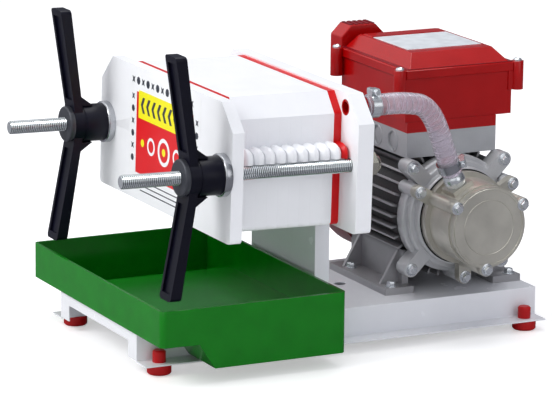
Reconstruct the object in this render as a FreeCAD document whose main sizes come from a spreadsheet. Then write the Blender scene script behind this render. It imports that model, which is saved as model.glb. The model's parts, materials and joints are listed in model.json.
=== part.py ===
"""Plate filter press with a motor-driven pump, as separate pieces in one frame.

X runs from the operator's handles to the pump, Y across the press, Z up from the floor.
The origin lies on the floor under the middle of the press.
"""
import FreeCAD, Part
import Sketcher
import math
import os
import re

# Driving dimensions: millimetres and degrees
SIZES = {
    # folded sheet base and its rubber feet
    "sheet_thick": 1.5,
    "base_front": -204,
    "base_rear": 241,
    "base_half_width": 92,
    "base_top": 40,
    "lip_bottom": 10,
    "lip_width": 22,
    "apron_depth": 12,
    "leg_width": 20,
    "cable_hole_radius": 6,
    "cable_hole_at": 64.5,
    "foot_setback_front": 20,
    "foot_setback_rear": 18,
    "foot_inset": 9,
    "foot_radius": 12,
    "foot_bevel": 1.5,
    "foot_neck_radius": 4.5,
    "foot_plug_radius": 6.5,
    "foot_plug_length": 12,
    # drip tray
    "tray_front": -206.8,
    "tray_rear": -9.1,
    "tray_half_width": 155.8,
    "tray_rim": 75.5,
    "tray_wall": 3,
    "tray_corner": 6,
    "tray_channel_gap": 3,
    "tray_channel_front": -167,
    "tray_channel_slope": 17,
    "tray_channel_bottom": 14.5,
    # press frame: rods, end plates and the stack between them
    "press_at": 1.5,
    "press_height": 196,
    "press_tilt": 1.2,
    "rod_margin": 16.7,
    "rod_radius": 7,
    "rod_reach": 242.5,
    "rod_tail": 28,
    "rod_bevel": 1.2,
    "fit_gap": 0.1,
    "end_half_width": 152.7,
    "end_top": 68.9,
    "end_bottom": 65.7,
    "end_cut": 26,
    "end_corner": 5,
    "head_thick": 17,
    "pressure_thick": 12.4,
    "red_plate_thick": 8.2,
    "filter_plate_count": 9,
    "filter_plate_thick": 11.75,
    "plate_side_gap": 19.2,
    "filter_top": 67.4,
    "filter_bottom": 63.2,
    "filter_cut_width": 16.8,
    "filter_cut_height": 19.5,
    "lug_overhang": 2,
    "lug_height": 14,
    "lug_round": 10,
    "lug_setback": 0.4,
    "lug_edge": 3.6,
    "seal_width": 16.8,
    "field_half_height": 50,
    "field_depth": 2.5,
    "port_radius": 4.5,
    "port_inset": 24.8,
    "port_margin": 6.5,
    # nuts behind the head plate
    "nut_across": 22,
    "nut_height": 10,
    "nut_dome_radius": 9.5,
    "nut_cap": 5.4,
    # clamping handles
    "washer_radius": 21,
    "washer_thick": 7.5,
    "washer_bevel": 1,
    "hub_radius": 19,
    "hub_length": 23.4,
    "insert_radius": 12,
    "boss_radius": 18,
    "boss_length": 5.5,
    "arm_thick": 11.5,
    "arm_width": 25,
    "arm_reach": 118,
    "arm_lean": 17,
    "arm_corner": 4,
    "arm_recess_rim": 4,
    "arm_recess_end": 7,
    "arm_recess_depth": 2.5,
    "arm_gusset_length": 11,
    "arm_gusset_height": 12,
    "arm_gusset_width": 15,
    # pan-shaped bracket under the head plate
    "bracket_front": -1,
    "bracket_half_width": 71,
    "bracket_depth": 16,
    "bracket_thick": 2,
    "bracket_gap": 0.1,
    # motor
    "motor_at": 161,
    "motor_height": 118,
    "frame_near": -52,
    "frame_far": 58,
    "frame_radius": 60,
    "fin_radius": 67,
    "fin_thick": 2.2,
    "fin_count": 36,
    "crown_height": 59,
    "shoe_half_width": 78,
    "shoe_inner": 46,
    "shoe_thick": 7,
    "shoe_rise": 42,
    "shoe_near": -64,
    "shoe_gusset_thick": 4,
    "shoe_gusset_inset": 8,
    "shoe_gusset_edge": 5,
    "shield_radius": 60,
    "shield_depth": 18,
    "shield_step_radius": 55.5,
    "shield_step_depth": 7,
    "shield_bevel": 1.5,
    "boss_spread": 52,
    "tie_boss_radius": 8,
    "collar_radius": 50,
    "collar_depth": 8,
    "fan_cover_radius": 71,
    "fan_cover_depth": 60,
    "fan_cover_round": 12,
    "grille_inner": 16,
    "grille_outer": 54,
    "grille_width": 5,
    "grille_depth": 3,
    "grille_count": 16,
    # pump
    "pump_flange_radius": 47,
    "pump_flange_depth": 9,
    "flange_bolt_circle": 61,
    "flange_ear_radius": 7,
    "flange_boss_radius": 6.5,
    "flange_ear_turn": 30,
    "pump_radius": 42,
    "pump_depth": 38,
    "cover_radius": 41,
    "cover_depth": 8,
    "cover_bolt_circle": 43,
    "cover_ear_radius": 7,
    "cover_ear_turn": 28,
    "port_turn": 119,
    "port_axis_at": -105,
    "port_boss_radius": 12,
    "port_boss_reach": 46,
    "elbow_radius": 11,
    "elbow_sink": 0.5,
    # wiring boxes on the motor
    "terminal_left": -52,
    "terminal_right": 50,
    "terminal_near": -55,
    "terminal_far": 57,
    "terminal_top": 84.5,
    "knockout_radius": 9.5,
    "knockout_depth": 2.5,
    "knockout_far_at": 8,
    "knockout_near_at": -25,
    "box_neck_height": 11,
    "box_left": -55,
    "box_right": 69,
    "box_far": 85,
    "box_top": 149,
    "box_rim_height": 9.5,
    "box_rim_step": 1.2,
    "box_lug_radius": 6.4,
    "box_lug_height": 29,
    "box_lug_out": 5.5,
    "box_lug_in": 2,
    "lid_height": 13.5,
    "lid_side_bevel": 10.6,
    "lid_near_bevel": 18,
    "lid_far_bevel": 10.6,
    "lid_inset": 5,
    "lid_lap": 1,
    "strip_gap": 3,
    "strip_rise": 0.8,
    "nameplate_side_margin": 4,
    "nameplate_near_margin": 14,
    "nameplate_length": 74,
    "nameplate_thick": 0.6,
    "socket_left": -54,
    "socket_right": -3.5,
    "socket_depth": 25,
    "socket_top": 170,
    "socket_bottom": 120,
    "socket_bevel": 11,
    # delivery hose
    "hose_radius": 10.7,
    "hose_wall": 2.7,
    "hose_bend": 68,
    "hose_run": 33,
    "hose_drop_length": 37,
    "hose_drop_side": 10,
    "hose_drop_height": 75,
    "tail_margin": 28.7,
    "tail_height": 55,
    "tail_collar_radius": 9,
    "tail_collar_length": 4,
    "tail_length": 24,
    "tail_bore_play": 0.1,
    "tail_wall": 2,
    "clamp_width": 9,
    "clamp_band": 1.2,
}

# Values that follow from the driving dimensions
DERIVED = {
    "lip_top": "(lip_bottom + sheet_thick)",
    "lip_reach": "(base_half_width + lip_width)",
    "foot_front_at": "(base_front + foot_setback_front)",
    "foot_rear_at": "(base_rear - foot_setback_rear)",
    "foot_spread": "(base_half_width + foot_inset)",
    "rod_spread": "(end_half_width - rod_margin)",
    "filter_half_width": "(rod_spread - plate_side_gap)",
    "field_half_width": "(filter_half_width - seal_width)",
    "port_at": "(filter_half_width - port_inset)",
    "lug_reach": "(rod_spread + lug_overhang)",
    "tail_at": "(end_half_width - tail_margin)",
    "stack_depth": "(2 * red_plate_thick + filter_plate_count * filter_plate_thick)",
    "pressure_front": "(stack_depth + pressure_thick)",
    "washer_front": "(pressure_front + washer_thick)",
    "hub_front": "(washer_front + hub_length)",
    "boss_front": "(hub_front + arm_thick + boss_length)",
    "arm_root": "(boss_radius + fit_gap)",
    "lug_bottom": "(rod_radius + fit_gap)",
    "lug_top": "(lug_bottom + lug_height)",
    "rod_hole_radius": "(rod_radius + fit_gap)",
    "port_up": "(filter_top - port_margin)",
    "port_down": "(filter_bottom - port_margin)",
    "channel_inner": "(base_half_width + tray_channel_gap)",
    "floor_level": "(base_top - motor_height)",
    "shield_near": "(frame_near - shield_depth)",
    "collar_near": "(shield_near - collar_depth)",
    "flange_near": "(collar_near - pump_flange_depth)",
    "pump_near": "(flange_near - pump_depth)",
    "box_bottom": "(terminal_top + box_neck_height)",
    "lid_top": "(box_top + lid_height)",
    "lid_left": "(box_left + lid_inset + lid_side_bevel)",
    "lid_right": "(box_right - lid_inset - lid_side_bevel)",
    "lid_near": "(terminal_near + lid_near_bevel)",
    "lid_far": "(box_far - lid_far_bevel)",
    "nameplate_near": "(lid_near + nameplate_near_margin)",
    "nameplate_far": "(nameplate_near + nameplate_length)",
    "knockout_height": "((crown_height + terminal_top) / 2)",
    "tail_radius": "(hose_radius - hose_wall - tail_bore_play)",
    "tail_inner_radius": "(tail_radius - tail_wall)",
}

doc = FreeCAD.newDocument("FilterPress")
sheet = doc.addObject("Spreadsheet::Sheet", "Sizes")
for row, (alias, number) in enumerate(SIZES.items(), start=1):
    sheet.set(f"A{row}", alias)
    sheet.set(f"B{row}", str(number))
    sheet.setAlias(f"B{row}", alias)
doc.recompute()

SUB_PARTS = []


# ---------------------------------------------------------------- expressions

def expr(text):
    """Write a formula of size names in the sheet's own terms."""
    def swap(found):
        word = found.group(0)
        if word in DERIVED:
            return expr(DERIVED[word])
        if word in SIZES:
            return "Sizes." + word
        return word
    return re.sub(r"[a-z][a-z_]*", swap, str(text))


def value(text):
    """The number that a formula of size names has now."""
    return float(sheet.evalExpression(expr(text)))


# ---------------------------------------------------------------- sub-parts and their places

def add_body(label):
    body = doc.addObject("PartDesign::Body", label)
    body.Label = label
    SUB_PARTS.append(body)
    return body


def set_in_press(piece, side="0"):
    """Place a piece in the press frame, which leans back on the head plate."""
    piece.Placement = FreeCAD.Placement(
        FreeCAD.Vector(0, 0, 0), FreeCAD.Rotation(FreeCAD.Vector(0, 1, 0), 1))
    piece.setExpression(".Placement.Base.x", expr("press_at"))
    piece.setExpression(".Placement.Base.y", expr(side))
    piece.setExpression(".Placement.Base.z", expr("press_height"))
    piece.setExpression(".Placement.Rotation.Angle", expr("press_tilt") + " * 1 deg")


def set_on_motor(piece):
    """Place a piece about the motor's axis, which runs along Y."""
    piece.setExpression(".Placement.Base.x", expr("motor_at"))
    piece.setExpression(".Placement.Base.z", expr("motor_height"))


# ---------------------------------------------------------------- sketches

def add_sketch(body, role, name, offset="0"):
    """Start a sketch on one of the body's own planes, moved along its normal."""
    sketch = body.newObject("Sketcher::SketchObject", name)
    plane = [item for item in body.Origin.OriginFeatures if item.Role == role][0]
    sketch.AttachmentSupport = [(plane, "")]
    sketch.MapMode = "FlatFace"
    sketch.setExpression(".AttachmentOffset.Base.z", expr(offset))
    return sketch


def pin_point(sketch, geometry, end, x, y):
    """Tie a point of the sketch to two formulas, measured from the sketch's origin."""
    for kind, text in (("DistanceX", x), ("DistanceY", y)):
        limit = Sketcher.Constraint(kind, -1, 1, geometry, end, value(text))
        sketch.setExpression(f"Constraints[{sketch.addConstraint(limit)}]", expr(text))


def add_polygon(sketch, points):
    first = sketch.GeometryCount
    corners = [FreeCAD.Vector(value(x), value(y), 0) for x, y in points]
    for start, end in zip(corners, corners[1:] + corners[:1]):
        sketch.addGeometry(Part.LineSegment(start, end))
    for index in range(len(points)):
        follower = first + (index + 1) % len(points)
        sketch.addConstraint(Sketcher.Constraint("Coincident", first + index, 2, follower, 1))
    for index, (x, y) in enumerate(points):
        pin_point(sketch, first + index, 1, x, y)


def add_rectangle(sketch, left, right, low, high):
    add_polygon(sketch, [(left, low), (right, low), (right, high), (left, high)])


def add_circle(sketch, x, y, radius):
    centre = FreeCAD.Vector(value(x), value(y), 0)
    normal = FreeCAD.Vector(0, 0, 1)
    index = sketch.addGeometry(Part.Circle(centre, normal, value(radius)))
    limit = Sketcher.Constraint("Radius", index, value(radius))
    sketch.setExpression(f"Constraints[{sketch.addConstraint(limit)}]", expr(radius))
    pin_point(sketch, index, 3, x, y)


def draw_ears(sketch, circle, radius, turn):
    """Three round ears a third of a turn apart."""
    for index in range(3):
        angle = f"({turn} + {120 * index}) * 1 deg"
        add_circle(sketch, f"{circle} * cos({angle})", f"{circle} * sin({angle})", radius)


def draw_spoke(sketch, turn, inner, outer, half_width):
    """A straight bar that runs outward from the axis at the given turn."""
    along = (f"cos(({turn}) * 1 deg)", f"sin(({turn}) * 1 deg)")
    corners = []
    for reach, side in ((inner, "-1"), (outer, "-1"), (outer, "1"), (inner, "1")):
        corners.append((f"{reach} * {along[0]} + {side} * {half_width} * {along[1]}",
                        f"{reach} * {along[1]} - {side} * {half_width} * {along[0]}"))
    add_polygon(sketch, corners)


# ---------------------------------------------------------------- features

def add_pad(body, sketch, length):
    doc.recompute()
    pad = body.newObject("PartDesign::Pad", sketch.Name + "Pad")
    pad.Profile = sketch
    pad.setExpression("Length", expr(length))
    doc.recompute()
    return pad


def add_pocket(body, sketch, length, reversed_cut=False):
    """Cut a sketch out of the body, and check that something was cut."""
    doc.recompute()
    before = body.Shape.Volume
    pocket = body.newObject("PartDesign::Pocket", sketch.Name + "Pocket")
    pocket.Profile = sketch
    pocket.Reversed = reversed_cut
    pocket.setExpression("Length", expr(length))
    doc.recompute()
    if not pocket.Shape.Volume < before:
        raise RuntimeError(f"{pocket.Name} cuts nothing")
    return pocket


def add_revolution(body, sketch, axis="H_Axis"):
    doc.recompute()
    turned = body.newObject("PartDesign::Revolution", sketch.Name + "Turned")
    turned.Profile = sketch
    turned.ReferenceAxis = (sketch, [axis])
    turned.Angle = 360
    doc.recompute()
    return turned


def edges_of(feature, wanted):
    return [f"Edge{index}" for index, edge in enumerate(feature.Shape.Edges, start=1) if wanted(edge)]


def add_fillet(body, wanted, radius):
    base = body.Tip
    fillet = body.newObject("PartDesign::Fillet", body.Name + "Round")
    fillet.Base = (base, edges_of(base, wanted))
    fillet.setExpression("Radius", expr(radius))
    doc.recompute()
    return fillet


def add_chamfer(body, wanted, size):
    base = body.Tip
    chamfer = body.newObject("PartDesign::Chamfer", body.Name + "Bevel")
    chamfer.Base = (base, edges_of(base, wanted))
    chamfer.setExpression("Size", expr(size))
    doc.recompute()
    return chamfer


def add_pattern(body, feature, sketch, count):
    pattern = body.newObject("PartDesign::PolarPattern", feature.Name + "Ring")
    pattern.Originals = [feature]
    pattern.Axis = (sketch, ["N_Axis"])
    pattern.Angle = 360
    pattern.setExpression("Occurrences", expr(count))
    body.Tip = pattern
    doc.recompute()
    return pattern


def runs_along(edge, axis):
    """True for a straight edge that runs along the given axis."""
    if not isinstance(edge.Curve, Part.Line):
        return False
    return abs(abs(edge.Curve.Direction.dot(axis)) - 1) < 1e-6


ALONG_X = FreeCAD.Vector(1, 0, 0)
ALONG_Y = FreeCAD.Vector(0, 1, 0)
ALONG_Z = FreeCAD.Vector(0, 0, 1)


# ---------------------------------------------------------------- base and feet

def make_base_chassis():
    """One folded sheet: top, two side walls with outward lips, an apron at each end."""
    body = add_body("base_chassis")
    section = add_sketch(body, "YZ_Plane", "BaseSection", "base_front")
    inner = "(base_half_width - sheet_thick)"
    under = "(base_top - sheet_thick)"
    add_polygon(section, [
        ("-lip_reach", "lip_bottom"), ("-" + inner, "lip_bottom"), ("-" + inner, under),
        (inner, under), (inner, "lip_bottom"), ("lip_reach", "lip_bottom"),
        ("lip_reach", "lip_top"), ("base_half_width", "lip_top"), ("base_half_width", "base_top"),
        ("-base_half_width", "base_top"), ("-base_half_width", "lip_top"), ("-lip_reach", "lip_top"),
    ])
    add_pad(body, section, "base_rear - base_front")
    for name, offset in (("FrontApron", "base_front"), ("RearApron", "base_rear - sheet_thick")):
        apron = add_sketch(body, "YZ_Plane", name, offset)
        leg = "(base_half_width - leg_width)"
        edge = "(base_top - apron_depth)"
        add_polygon(apron, [
            ("-base_half_width", "lip_top"), ("-" + leg, "lip_top"), ("-" + leg, edge),
            (leg, edge), (leg, "lip_top"), ("base_half_width", "lip_top"),
            ("base_half_width", "base_top"), ("-base_half_width", "base_top"),
        ])
        add_pad(body, apron, "sheet_thick")
    seats = add_sketch(body, "XY_Plane", "FootHoles", "lip_bottom")
    for along in ("foot_front_at", "foot_rear_at"):
        for side in ("-foot_spread", "foot_spread"):
            add_circle(seats, along, side, "foot_neck_radius + fit_gap")
    add_pocket(body, seats, "sheet_thick", reversed_cut=True)
    cable = add_sketch(body, "XY_Plane", "CableHole", "base_top - sheet_thick")
    add_circle(cable, "cable_hole_at", "0", "cable_hole_radius")
    add_pocket(body, cable, "sheet_thick", reversed_cut=True)


def make_foot(label, along, side):
    """Turned rubber foot whose neck snaps through the lip of the base."""
    body = add_body(label)
    profile = add_sketch(body, "XZ_Plane", label + "Profile")
    add_polygon(profile, [
        ("0", "0"), ("foot_radius - foot_bevel", "0"), ("foot_radius", "foot_bevel"),
        ("foot_radius", "lip_bottom"), ("foot_neck_radius", "lip_bottom"),
        ("foot_neck_radius", "lip_top"), ("foot_plug_radius", "lip_top"),
        ("foot_plug_radius", "lip_top + foot_plug_length - foot_bevel"),
        ("foot_plug_radius - foot_bevel", "lip_top + foot_plug_length"),
        ("0", "lip_top + foot_plug_length"),
    ])
    add_revolution(body, profile, "V_Axis")
    body.setExpression(".Placement.Base.x", expr(along))
    body.setExpression(".Placement.Base.y", expr(side))


# ---------------------------------------------------------------- drip tray

def make_drip_tray():
    """Moulded tray that sits on the base, with a deep channel outside each base wall."""
    body = add_body("drip_tray")
    outline = add_sketch(body, "XY_Plane", "TrayOutline", "base_top")
    add_rectangle(outline, "tray_front", "tray_rear", "-tray_half_width", "tray_half_width")
    add_pad(body, outline, "tray_rim - base_top")
    for name, side in (("FarChannel", "-tray_half_width"), ("NearChannel", "channel_inner")):
        channel = add_sketch(body, "XZ_Plane", name, side)
        add_polygon(channel, [
            ("tray_channel_front", "base_top"),
            ("tray_channel_front + tray_channel_slope", "tray_channel_bottom"),
            ("tray_rear", "tray_channel_bottom"), ("tray_rear", "base_top"),
        ])
        add_pad(body, channel, "tray_half_width - channel_inner")
    reach = value("tray_half_width") - 1
    add_fillet(body, lambda edge: runs_along(edge, ALONG_Z)
               and abs(edge.CenterOfMass.y) > reach, "tray_corner")
    hollow = add_sketch(body, "XY_Plane", "TrayHollow", "base_top + tray_wall")
    add_rectangle(hollow, "tray_front + tray_wall", "tray_rear - tray_wall",
                  "-tray_half_width + tray_wall", "tray_half_width - tray_wall")
    add_pocket(body, hollow, "tray_rim - base_top - tray_wall", reversed_cut=True)
    for name, side in (("FarHollow", "-tray_half_width + tray_wall"),
                       ("NearHollow", "channel_inner + tray_wall")):
        channel = add_sketch(body, "XZ_Plane", name, side)
        add_polygon(channel, [
            ("tray_channel_front + tray_wall", "base_top + tray_wall + fit_gap"),
            ("tray_channel_front + tray_channel_slope + tray_wall",
             "tray_channel_bottom + tray_wall"),
            ("tray_rear - tray_wall", "tray_channel_bottom + tray_wall"),
            ("tray_rear - tray_wall", "base_top + tray_wall + fit_gap"),
        ])
        add_pocket(body, channel, "tray_half_width - channel_inner - 2 * tray_wall",
                   reversed_cut=True)


# ---------------------------------------------------------------- press frame

def draw_end_outline(sketch):
    """Outline that the head plate and the pressure plate share, with their rod holes."""
    add_polygon(sketch, [
        ("-end_half_width", "-end_bottom"), ("end_half_width", "-end_bottom"),
        ("end_half_width", "end_top - end_cut"), ("end_half_width - end_cut", "end_top"),
        ("-end_half_width + end_cut", "end_top"), ("-end_half_width", "end_top - end_cut"),
    ])
    add_circle(sketch, "-rod_spread", "0", "rod_hole_radius")
    add_circle(sketch, "rod_spread", "0", "rod_hole_radius")


def make_end_plate(label, start, thick):
    body = add_body(label)
    outline = add_sketch(body, "YZ_Plane", label + "Outline", start)
    draw_end_outline(outline)
    add_pad(body, outline, thick)
    low = -value("end_bottom") + value("fit_gap")
    add_fillet(body, lambda edge: runs_along(edge, ALONG_X) and edge.CenterOfMass.z < low,
               "end_corner")
    set_in_press(body)
    return body


def make_head_plate():
    body = make_end_plate("head_plate", "0", "head_thick")
    inlet = add_sketch(body, "YZ_Plane", "HeadInlet", "0")
    add_circle(inlet, "-tail_at", "tail_height", "tail_radius + fit_gap")
    add_pocket(body, inlet, "head_thick", reversed_cut=True)


def make_tie_rod(label, side):
    body = add_body(label)
    profile = add_sketch(body, "XZ_Plane", label + "Profile")
    add_polygon(profile, [
        ("-rod_reach", "0"), ("rod_tail", "0"), ("rod_tail", "rod_radius"),
        ("-rod_reach + rod_bevel", "rod_radius"), ("-rod_reach", "rod_radius - rod_bevel"),
    ])
    add_revolution(body, profile)
    set_in_press(body, side)


def make_rod_nut(label, side):
    """Cap nut behind the head plate: a hexagon with a domed end."""
    body = add_body(label)
    hexagon = add_sketch(body, "YZ_Plane", label + "Hexagon", "head_thick")
    corners = [(f"nut_across / sqrt(3) * cos({60 * turn + 30} deg)",
                f"nut_across / sqrt(3) * sin({60 * turn + 30} deg)") for turn in range(6)]
    add_polygon(hexagon, corners)
    add_pad(body, hexagon, "nut_height")
    dome = add_sketch(body, "XZ_Plane", label + "Dome")
    back = "(rod_tail + fit_gap + nut_cap)"
    add_polygon(dome, [
        ("head_thick", "0"), (back, "0"), (back, "nut_dome_radius / 2"),
        (back + " - nut_dome_radius / 4", "nut_dome_radius * 0.85"),
        (back + " - nut_dome_radius / 2", "nut_dome_radius"), ("head_thick", "nut_dome_radius"),
    ])
    add_revolution(body, dome)
    bore = add_sketch(body, "YZ_Plane", label + "Bore", "head_thick")
    add_circle(bore, "0", "0", "rod_hole_radius")
    add_pocket(body, bore, "rod_tail + fit_gap - head_thick", reversed_cut=True)
    set_in_press(body, side)


# ---------------------------------------------------------------- filter plates

def draw_filter_outline(sketch):
    """Plate with cut top corners and one port high up, one low down."""
    points = [("filter_half_width", "-filter_bottom"),
              ("filter_half_width", "filter_top - filter_cut_height"),
              ("filter_half_width - filter_cut_width", "filter_top")]
    mirrored = [("-(" + x + ")", y) for x, y in reversed(points)]
    add_polygon(sketch, points + mirrored)
    add_circle(sketch, "-port_at", "port_up", "port_radius")
    add_circle(sketch, "port_at", "-port_down", "port_radius")


def add_plate_lugs(body, label, rear, thick):
    """Cushion-shaped lug on each side of a plate, which rides on a tie rod."""
    lugs = add_sketch(body, "YZ_Plane", label + "Lugs", f"-({rear}) - {thick} + lug_setback")
    root = "(filter_half_width - lug_setback)"
    add_rectangle(lugs, root, "lug_reach", "lug_bottom", "lug_top")
    add_rectangle(lugs, "-lug_reach", "-" + root, "lug_bottom", "lug_top")
    add_pad(body, lugs, thick + " - 2 * lug_setback")
    outer = value("lug_reach") - value("fit_gap")
    above = value("lug_bottom") + value("fit_gap")
    beside = value("filter_half_width") + value("fit_gap")
    add_fillet(body, lambda edge: runs_along(edge, ALONG_X) and edge.CenterOfMass.z > above
               and abs(edge.CenterOfMass.y) > outer, "lug_round")
    add_chamfer(body, lambda edge: not runs_along(edge, ALONG_X) and edge.CenterOfMass.z > above
                and abs(edge.CenterOfMass.y) > beside, "lug_edge")


def make_filter_plate(label, rear, thick, recessed):
    """A plate whose rear face lies the given distance in front of the head plate."""
    body = add_body(label)
    outline = add_sketch(body, "YZ_Plane", label + "Outline", f"-({rear}) - {thick}")
    draw_filter_outline(outline)
    add_pad(body, outline, thick)
    low = -value("filter_bottom") + value("fit_gap")
    add_fillet(body, lambda edge: runs_along(edge, ALONG_X) and edge.CenterOfMass.z < low,
               "end_corner")
    add_plate_lugs(body, label, rear, thick)
    if recessed:
        middle = "(filter_top - filter_bottom) / 2"
        for name, offset in (("Front", f"-({rear}) - {thick}"),
                             ("Rear", f"-({rear}) - field_depth")):
            field = add_sketch(body, "YZ_Plane", label + name + "Field", offset)
            add_rectangle(field, "-field_half_width", "field_half_width",
                          middle + " - field_half_height", middle + " + field_half_height")
            add_pocket(body, field, "field_depth", reversed_cut=True)
    set_in_press(body)


def make_stack():
    rear = "0"
    make_filter_plate("red_plate_rear", rear, "red_plate_thick", False)
    rear = "red_plate_thick"
    for number in range(int(value("filter_plate_count")), 0, -1):
        make_filter_plate(f"filter_plate_{number}", rear, "filter_plate_thick", True)
        rear = rear + " + filter_plate_thick"
    make_filter_plate("red_plate_front", rear, "red_plate_thick", False)


# ---------------------------------------------------------------- clamping handles

def make_washer(label, side):
    body = add_body(label)
    profile = add_sketch(body, "XZ_Plane", label + "Profile")
    add_polygon(profile, [
        ("-pressure_front", "rod_hole_radius"), ("-pressure_front", "washer_radius"),
        ("-washer_front + washer_bevel", "washer_radius"),
        ("-washer_front", "washer_radius - washer_bevel"), ("-washer_front", "rod_hole_radius"),
    ])
    add_revolution(body, profile)
    set_in_press(body, side)


def make_handle(label, side):
    """Moulded two-armed handle: hub, gussets, and channelled arms that lean to the operator."""
    body = add_body(label)
    hub = add_sketch(body, "XZ_Plane", label + "Hub")
    add_rectangle(hub, "-hub_front", "-washer_front", "insert_radius", "hub_radius")
    add_revolution(body, hub)
    arms = add_sketch(body, "XZ_Plane", label + "Arms", "-arm_width / 2")
    back = "-hub_front"
    front = "-hub_front - arm_thick"
    add_polygon(arms, [
        (back, "0"), (back + " - arm_lean", "arm_reach"),
        (front + " - arm_lean", "arm_reach"), (front, "arm_root"), (front, "-arm_root"),
        (front + " - arm_lean", "-arm_reach"), (back + " - arm_lean", "-arm_reach"),
    ])
    add_pad(body, arms, "arm_width")
    tip = value("arm_reach") - value("fit_gap")
    add_fillet(body, lambda edge: runs_along(edge, ALONG_X) and abs(edge.CenterOfMass.z) > tip,
               "arm_corner")
    for name, sign in (("Upper", ""), ("Lower", "-")):
        recess = add_sketch(body, "XZ_Plane", label + name + "Recess",
                            "-arm_width / 2 + arm_recess_rim")
        first = "(arm_root + arm_recess_end)"
        last = "(arm_reach - arm_recess_end)"
        corners = []
        for height, depth in ((first, "-fit_gap"), (first, "arm_recess_depth"),
                              (last, "arm_recess_depth"), (last, "-fit_gap")):
            lean = f"arm_lean * ({height} - arm_root) / (arm_reach - arm_root)"
            corners.append((f"{front} - {lean} + {depth}", sign + height))
        add_polygon(recess, corners)
        add_pocket(body, recess, "arm_width - 2 * arm_recess_rim", reversed_cut=True)
        gusset = add_sketch(body, "XZ_Plane", label + name + "Gusset", "-arm_gusset_width / 2")
        inside = "(hub_radius - fit_gap)"
        add_polygon(gusset, [
            (back + " + arm_gusset_length", sign + inside),
            (back + " - arm_thick / 2", sign + f"({inside} + arm_gusset_height)"),
            (back + " - arm_thick / 2", sign + inside),
        ])
        add_pad(body, gusset, "arm_gusset_width")
    hub_disc = add_sketch(body, "YZ_Plane", label + "Disc", "-hub_front - arm_thick")
    add_circle(hub_disc, "0", "0", "boss_radius")
    add_pad(body, hub_disc, "arm_thick")
    bore = add_sketch(body, "YZ_Plane", label + "Bore", "-hub_front - arm_thick")
    add_circle(bore, "0", "0", "insert_radius")
    add_pocket(body, bore, "arm_thick + hub_length", reversed_cut=True)
    set_in_press(body, side)


def make_handle_insert(label, side):
    """Threaded steel insert with a collar in front of the arms."""
    body = add_body(label)
    profile = add_sketch(body, "XZ_Plane", label + "Profile")
    add_polygon(profile, [
        ("-washer_front", "rod_hole_radius"), ("-washer_front", "insert_radius"),
        ("-boss_front + boss_length", "insert_radius"), ("-boss_front + boss_length", "boss_radius"),
        ("-boss_front + washer_bevel", "boss_radius"), ("-boss_front", "boss_radius - washer_bevel"),
        ("-boss_front", "rod_hole_radius"),
    ])
    add_revolution(body, profile)
    set_in_press(body, side)


# ---------------------------------------------------------------- head bracket

def make_head_bracket():
    """Folded pan, open to the rear, that carries the head plate on the base."""
    body = add_body("head_bracket")
    top = ("press_height - end_bottom * cos(press_tilt * 1 deg)"
           " - (bracket_front + bracket_depth - press_at) * sin(press_tilt * 1 deg) - bracket_gap")
    outline = add_sketch(body, "YZ_Plane", "BracketOutline", "bracket_front")
    add_rectangle(outline, "-bracket_half_width", "bracket_half_width", "base_top", top)
    add_pad(body, outline, "bracket_depth")
    hollow = add_sketch(body, "YZ_Plane", "BracketHollow", "bracket_front + bracket_thick")
    add_rectangle(hollow, "-bracket_half_width + bracket_thick",
                  "bracket_half_width - bracket_thick",
                  "base_top + bracket_thick", top + " - bracket_thick")
    add_pocket(body, hollow, "bracket_depth - bracket_thick", reversed_cut=True)


# ---------------------------------------------------------------- motor

def make_motor_frame():
    """Finned aluminium frame with two shoes cast on its underside."""
    body = add_body("motor_frame")
    length = "frame_far - frame_near"
    core = add_sketch(body, "XZ_Plane", "FrameCore", "-frame_far")
    add_circle(core, "0", "0", "frame_radius")
    add_pad(body, core, length)
    fin = add_sketch(body, "XZ_Plane", "FrameFin", "-frame_far")
    add_rectangle(fin, "frame_radius - fin_thick", "fin_radius", "-fin_thick / 2", "fin_thick / 2")
    fin_pad = add_pad(body, fin, length)
    add_pattern(body, fin_pad, fin, "fin_count")
    shoes = add_sketch(body, "XZ_Plane", "FrameShoes", "-frame_far")
    for sign in ("", "-"):
        add_polygon(shoes, [
            (sign + "shoe_inner", "floor_level"), (sign + "shoe_half_width", "floor_level"),
            (sign + "shoe_half_width", "floor_level + shoe_thick"),
            (sign + "(shoe_inner + shoe_thick)", "floor_level + shoe_thick"),
            (sign + "(shoe_inner + shoe_thick)", "floor_level + shoe_rise"),
            (sign + "shoe_inner", "floor_level + shoe_rise"),
        ])
    add_pad(body, shoes, length)
    toes = add_sketch(body, "XZ_Plane", "FrameToes", "-frame_near")
    for sign in ("", "-"):
        add_rectangle(toes, sign + "shoe_inner", sign + "shoe_half_width",
                      "floor_level", "floor_level + shoe_thick")
    add_pad(body, toes, "frame_near - shoe_near")
    for name, near in (("Near", "frame_near + shoe_gusset_inset"),
                       ("Far", "frame_far - shoe_gusset_inset - 2 * shoe_gusset_edge - shoe_gusset_thick")):
        gussets = add_sketch(body, "XZ_Plane", name + "Gussets", f"-({near}) - shoe_gusset_thick")
        for sign in ("", "-"):
            add_polygon(gussets, [
                (sign + "shoe_inner", "floor_level"),
                (sign + "(shoe_half_width - shoe_gusset_edge)", "floor_level"),
                (sign + "(shoe_half_width - shoe_gusset_edge)", "floor_level + shoe_thick"),
                (sign + "(shoe_inner + shoe_thick)", "floor_level + shoe_rise"),
                (sign + "shoe_inner", "floor_level + shoe_rise"),
            ])
        add_pad(body, gussets, "shoe_gusset_thick")
    crown = add_sketch(body, "XY_Plane", "FrameCrown", "crown_height")
    add_rectangle(crown, "-frame_radius", "frame_radius", "frame_near - 1", "frame_far + 1")
    add_pocket(body, crown, "frame_radius", reversed_cut=True)
    set_on_motor(body)


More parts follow.
